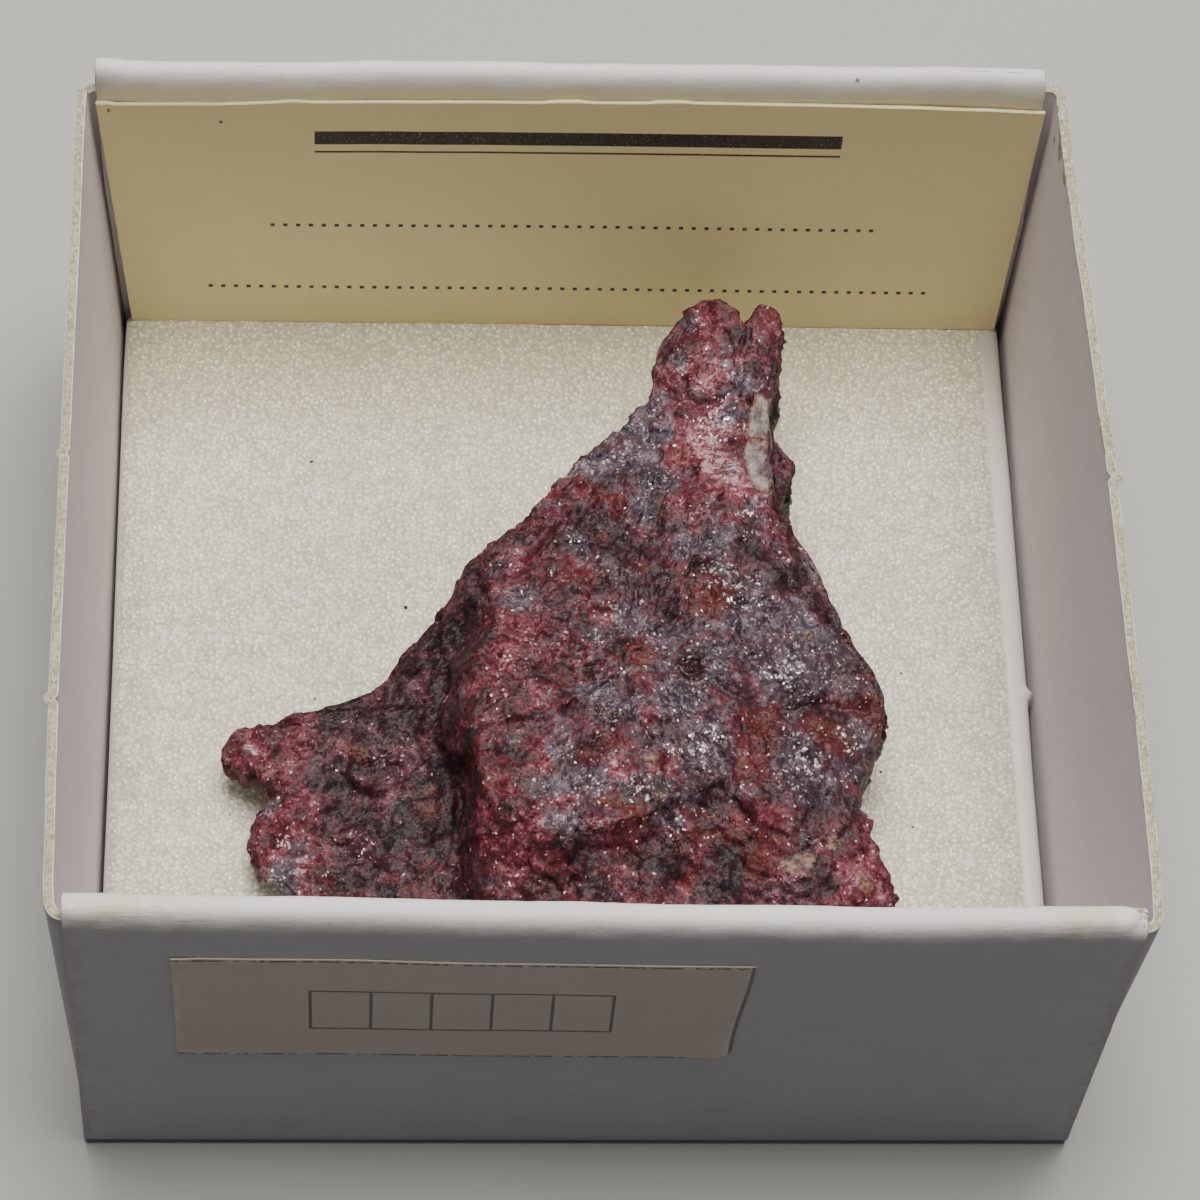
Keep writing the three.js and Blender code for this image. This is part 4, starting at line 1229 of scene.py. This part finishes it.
def slab_of_ore(material):
    """The slab, broken all over: the form's rings moved along their normals by lumps, four
    sizes of tilted grains, cracks and hollows, and by less where it lies on the foam."""
    grid, down = slab_form(turns=620, top_rings=116, side_rings=30, under_rings=12)
    x, y = grid[..., 0], grid[..., 1]
    normal = grid_normals(grid, closed=True)
    normal = unit(mix(top_normal(x, y), normal, smooth(down / 0.15)[..., None]))
    relief = 0.24 * lumps(grid, 4.2, 61) + 0.15 * lumps(grid, 1.9, 62)
    for size, amount, seed in GRAINS:
        relief += amount * facets(grid, size, seed)
    relief += 0.02 * lumps(grid, 0.2, 63)
    bend = lumps(grid, 0.8, 64) * 0.18
    face = 1 - smooth(down * 3)
    for half_width, depth, line in CRACKS:
        away = line_distance(x + bend, y + bend, line)
        relief -= face * depth * np.exp(-((away / half_width) ** 2))
    for hx, hy, radius, depth in HOLLOWS:
        relief -= face * depth * np.exp(-((x - hx) ** 2 + (y - hy) ** 2) / radius**2)
    relief = evened(relief, x, y)
    # a ledge drops away on the right of the thumb
    ledge = smooth((x - 8.0 - bend) / 0.4) * smooth((y - 4.2) / 0.9) * smooth((10.4 - y) / 0.9)
    moved = grid + normal * relief[..., None]
    moved[..., 2] -= 1.5 * ledge * (1 - smooth(down * 1.5))
    lying = smooth((down - 0.75) / 0.25)
    under = slab_under(x, y) + np.abs(relief) * 0.6
    moved[..., 2] = np.where(down > 0.75, mix(moved[..., 2], under, lying), moved[..., 2])
    moved[..., 2] = np.maximum(moved[..., 2], FOAM_TOP + 0.01)
    rows, columns = x.shape
    count = rows * columns
    points = np.concatenate([moved.reshape(-1, 3), moved[:1].mean(1), moved[-1:].mean(1)])
    first, last = np.arange(columns), count - columns + np.arange(columns)
    faces = quads(rows, columns, closed=True).tolist()
    faces += joined(count, first, np.roll(first, -1)).tolist()
    faces += joined(last, count + 1, np.roll(last, -1)).tolist()
    made = make_piece("slab_of_ore", points, faces, material, mineral_marks(points))
    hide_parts("cinnabar_specimen")
    return made


def mineral_marks(points):
    """How strongly each pull of the ore's material acts at each point: spots where it
    gathers, the low shelf's dark matrix with painted shade over it, painted shade on the
    broken sides, the plate's grey and the vein."""
    px, py, pz = points.T
    wobble = lumps(points, 0.9, 65) + 0.6 * lumps(points, 0.4, 66)
    on_shelf = 1 - smooth((px - station_value(STEP_X, py)) / 0.6 + 0.4)
    on_shelf = on_shelf * smooth((3.2 - py) / 1.5)
    # painted shade over the low shelf, which the plate shadows, on top of its dark matrix
    shelf_dark_and_shade = on_shelf * smooth((px + 11.0) / 1.4) * (1 - 0.45 * smooth((-9.0 - py) / 1.5))
    dark = 0.8 * gathered(px, py, DARK_AND_SHADE_SPOTS, wobble)
    dark = np.maximum(dark, shelf_dark_and_shade * (0.62 + 0.25 * wobble))
    # painted shade on the broken sides, more than 1 mm below the upper face
    low_side = smooth((slab_top(px, py) - pz - 1.0) / 1.0)
    dark = np.maximum(dark, 0.5 * low_side) - 0.38 * gathered(px, py, LIGHT, wobble)
    on_plate = smooth((px + 1.0) / 2.5) * smooth((4.5 - py) / 2) * smooth((py + 10.0) / 1.0)
    silver = np.maximum(0.25 * on_plate, gathered(px, py, SILVER, wobble)) * (1 - low_side)
    silver = np.maximum(silver, 0.9 * gathered(px, py, PAINTED_SHEEN_SPOTS, wobble))
    rose = gathered(px, py, ROSE, wobble) * (1 - 0.6 * shelf_dark_and_shade)
    rose = np.maximum(rose, 0.45 * shelf_dark_and_shade)
    vein_away = line_distance(px + 0.14 * wobble, py, VEIN) / VEIN_HALF
    vein = 1.75 * np.exp(-vein_away ** 6) * (1 - 0.8 * bump_at(py, 7.75, 0.16)) * (1 - low_side)
    pale = np.maximum(0.75 * gathered(px, py, PALE, wobble) * (1 - low_side), vein)
    return {"dark": dark, "silver": silver, "rose": rose,
            "ember": gathered(px, py, EMBER, wobble) * (1 - 0.3 * low_side), "pale": pale,
            "glint": gathered(px, py, PAINTED_GLINT_SPOTS, wobble) * (1 - low_side)}


# the few crumbs that lie apart from the slab: x, y, radius
FAR_CRUMBS = [(-7.1, 3.3, 0.075), (-3.9, 5.3, 0.05), (-10.9, -1.2, 0.04), (-11.2, 10.6, 0.06)]


def loose_crumbs(material):
    """Grains that have dropped on the foam: each is a ball of eight by six faces, its
    radius shaken by its own random numbers and flattened, set down on the pad."""
    rng = np.random.default_rng(7)
    near_slab, segments, tiers = 46, 8, 5
    along = rng.uniform(0, 2 * np.pi, near_slab)
    rim = closed_outline(near_slab)
    away = rng.gamma(1.6, 0.55, near_slab)[:, None]
    drift = rim + unit(rim - CENTRE) * (0.25 + away)
    drift += 0.3 * joined(np.cos(along), np.sin(along))
    size = rng.uniform(0.02, 0.06, near_slab)[:, None]
    spots = np.concatenate([FAR_CRUMBS, np.concatenate([drift, size], -1)])
    lying = (np.abs(spots[:, 0] + 0.15) < 18.4) & (np.abs(spots[:, 1]) < 17.4)
    spots = spots[lying]
    around = np.linspace(0, 2 * np.pi, segments, endpoint=False)
    tilt = np.linspace(0, np.pi, tiers + 2)[1:-1, None]
    rings = joined(np.sin(tilt) * np.cos(around), np.sin(tilt) * np.sin(around), np.cos(tilt))
    ball = np.concatenate([[(0, 0, 1)], rings.reshape(-1, 3), [(0, 0, -1)]])
    shake = rng.uniform(0.65, 1.3, (len(spots), len(ball), 1))
    stretch = rng.uniform(0.7, 1.3, (len(spots), 1, 3)) * [1, 1, 0.75]
    radius = spots[:, 2][:, None, None]
    points = ball[None] * shake * stretch * radius
    points[..., 2] -= points[..., 2].min(axis=1, keepdims=True) + 0.25 * radius[..., 0]
    points += joined(spots[:, 0], spots[:, 1], FOAM_TOP)[:, None]
    ring = 1 + np.arange(tiers * segments).reshape(tiers, segments)
    nxt = np.roll(ring, -1, axis=1)
    body = joined(ring[:-1], ring[1:], nxt[1:], nxt[:-1]).reshape(-1, 4)
    caps = np.concatenate([joined(0, ring[0], nxt[0]), joined(ring[-1], len(ball) - 1, nxt[-1])])
    shift = (np.arange(len(spots)) * len(ball))[:, None, None]
    faces = (body + shift).reshape(-1, 4).tolist() + (caps + shift).reshape(-1, 3).tolist()
    return make_piece("loose_crumbs", points.reshape(-1, 3), faces, material)


# ------------------------------------------------------------------ studio


def studio_camera():
    """Camera above and in front: forward from its yaw and pitch, then rolled."""
    place = Vector((-9.0006, -89.7960, 161.1973)) * MM
    yaw, pitch, roll = 0.10874, 1.03332, 0.10157
    forward = Vector((math.sin(yaw) * math.cos(pitch), math.cos(yaw) * math.cos(pitch),
                      -math.sin(pitch)))
    level = Vector((math.cos(yaw), -math.sin(yaw), 0))
    above = level.cross(forward)
    right = math.cos(roll) * level + math.sin(roll) * above
    up = -math.sin(roll) * level + math.cos(roll) * above
    lens = bpy.data.cameras.new("studio_camera")
    lens.sensor_width, lens.lens = 36.0, 128.846
    lens.clip_start, lens.clip_end = 0.01, 10.0
    camera = bpy.data.objects.new("studio_camera", lens)
    bpy.context.scene.collection.objects.link(camera)
    turned = Matrix((right, up, -forward)).transposed().to_4x4()
    camera.matrix_world = Matrix.Translation(place) @ turned
    bpy.context.scene.camera = camera


TRAY_MIDDLE = Vector((0, 0, 0.008))


def soft_light(name, place, size, watts, tint):
    """A square soft box at a place in metres, turned towards the tray."""
    lamp = bpy.data.lights.new(name, "AREA")
    lamp.shape, lamp.size, lamp.energy, lamp.color = "SQUARE", size, watts, tint
    made = bpy.data.objects.new(name, lamp)
    bpy.context.scene.collection.objects.link(made)
    made.location = place
    beam = TRAY_MIDDLE - Vector(place)
    made.rotation_euler = beam.to_track_quat("-Z", "Y").to_euler()


def pale_floor():
    """A plain pale floor under the tray. It gives back little light to the tray's sides,
    as a floor that falls away would."""
    reach, below = 3, -1e-4          # half its width, and its height, in metres
    mesh = bpy.data.meshes.new("pale_floor")
    corners = [(-1, -1), (1, -1), (1, 1), (-1, 1)]
    mesh.from_pydata([(x * reach, y * reach, below) for x, y in corners], [], [(0, 1, 2, 3)])
    material, w, shader = new_material("floor_paint")
    tone = w.ramp(w.noise(w.place(), 300, 2), [(0.3, (0.42, 0.42, 0.42)),
                                               (0.7, (0.46, 0.46, 0.46))])
    bounce = w.node("LightPath", {}, "Is Diffuse Ray")
    w.dress(shader, {"Base Color": w.blend(bounce, tone, (0.068, 0.067, 0.073)),
                     "Roughness": 0.9, "Specular IOR Level": 0.2})
    mesh.materials.append(material)
    made = bpy.data.objects.new("pale_floor", mesh)
    bpy.context.scene.collection.objects.link(made)


def room_light(strength):
    world = bpy.data.worlds.new("studio_room")
    world.use_nodes = True
    sky = world.node_tree.nodes["Background"]
    sky.inputs["Color"].default_value = (0.93, 0.95, 1.0, 1)
    sky.inputs["Strength"].default_value = strength
    bpy.context.scene.world = world


studio_camera()
soft_light("main_softbox", place=(0.02, 0.075, 0.42), size=0.27, watts=3.3,
           tint=(1.0, 0.97, 0.87))
room_light(strength=0.125)
pale_floor()

# ------------------------------------------------------------------ the object

board = white_lined_board()
for part in (tray_strip(board), side_wall(-1, board), side_wall(1, board)):
    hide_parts("card_tray")
foam_cushion(white_cell_foam())
# a heading rule with a fine one under it and two dotted writing lines: centre x and z,
# half length and height, pitch of the dots
label(buff_label_card([(0.0, 16.0, 11.1, 0.42, 0), (0.0, 15.1, 11.1, 0.06, 0),
                       (0.0, 10.2, 13.3, 0.10, 0.55), (0.0, 5.9, 15.9, 0.10, 0.55)]))
# the sticker's five empty number cells
cells = [(-10.8 + 2.3 * i, 12.5, 0.06, 1.6, 0) for i in range(6)]
cells += [(-5.05, 10.9, 5.8, 0.06, 0), (-5.05, 14.1, 5.8, 0.06, 0)]
sticker(cream_sticker_paper(cells))
slab_of_ore(cinnabar_ore("cinnabar_ore"))
loose_crumbs(cinnabar_ore("crumb_ore", {
    "Dark": 0.25, "Ember": 0.3, "Rose": 0.2, "Silver": 0.1, "Pale": 0.1, "Glint": 0.0}))
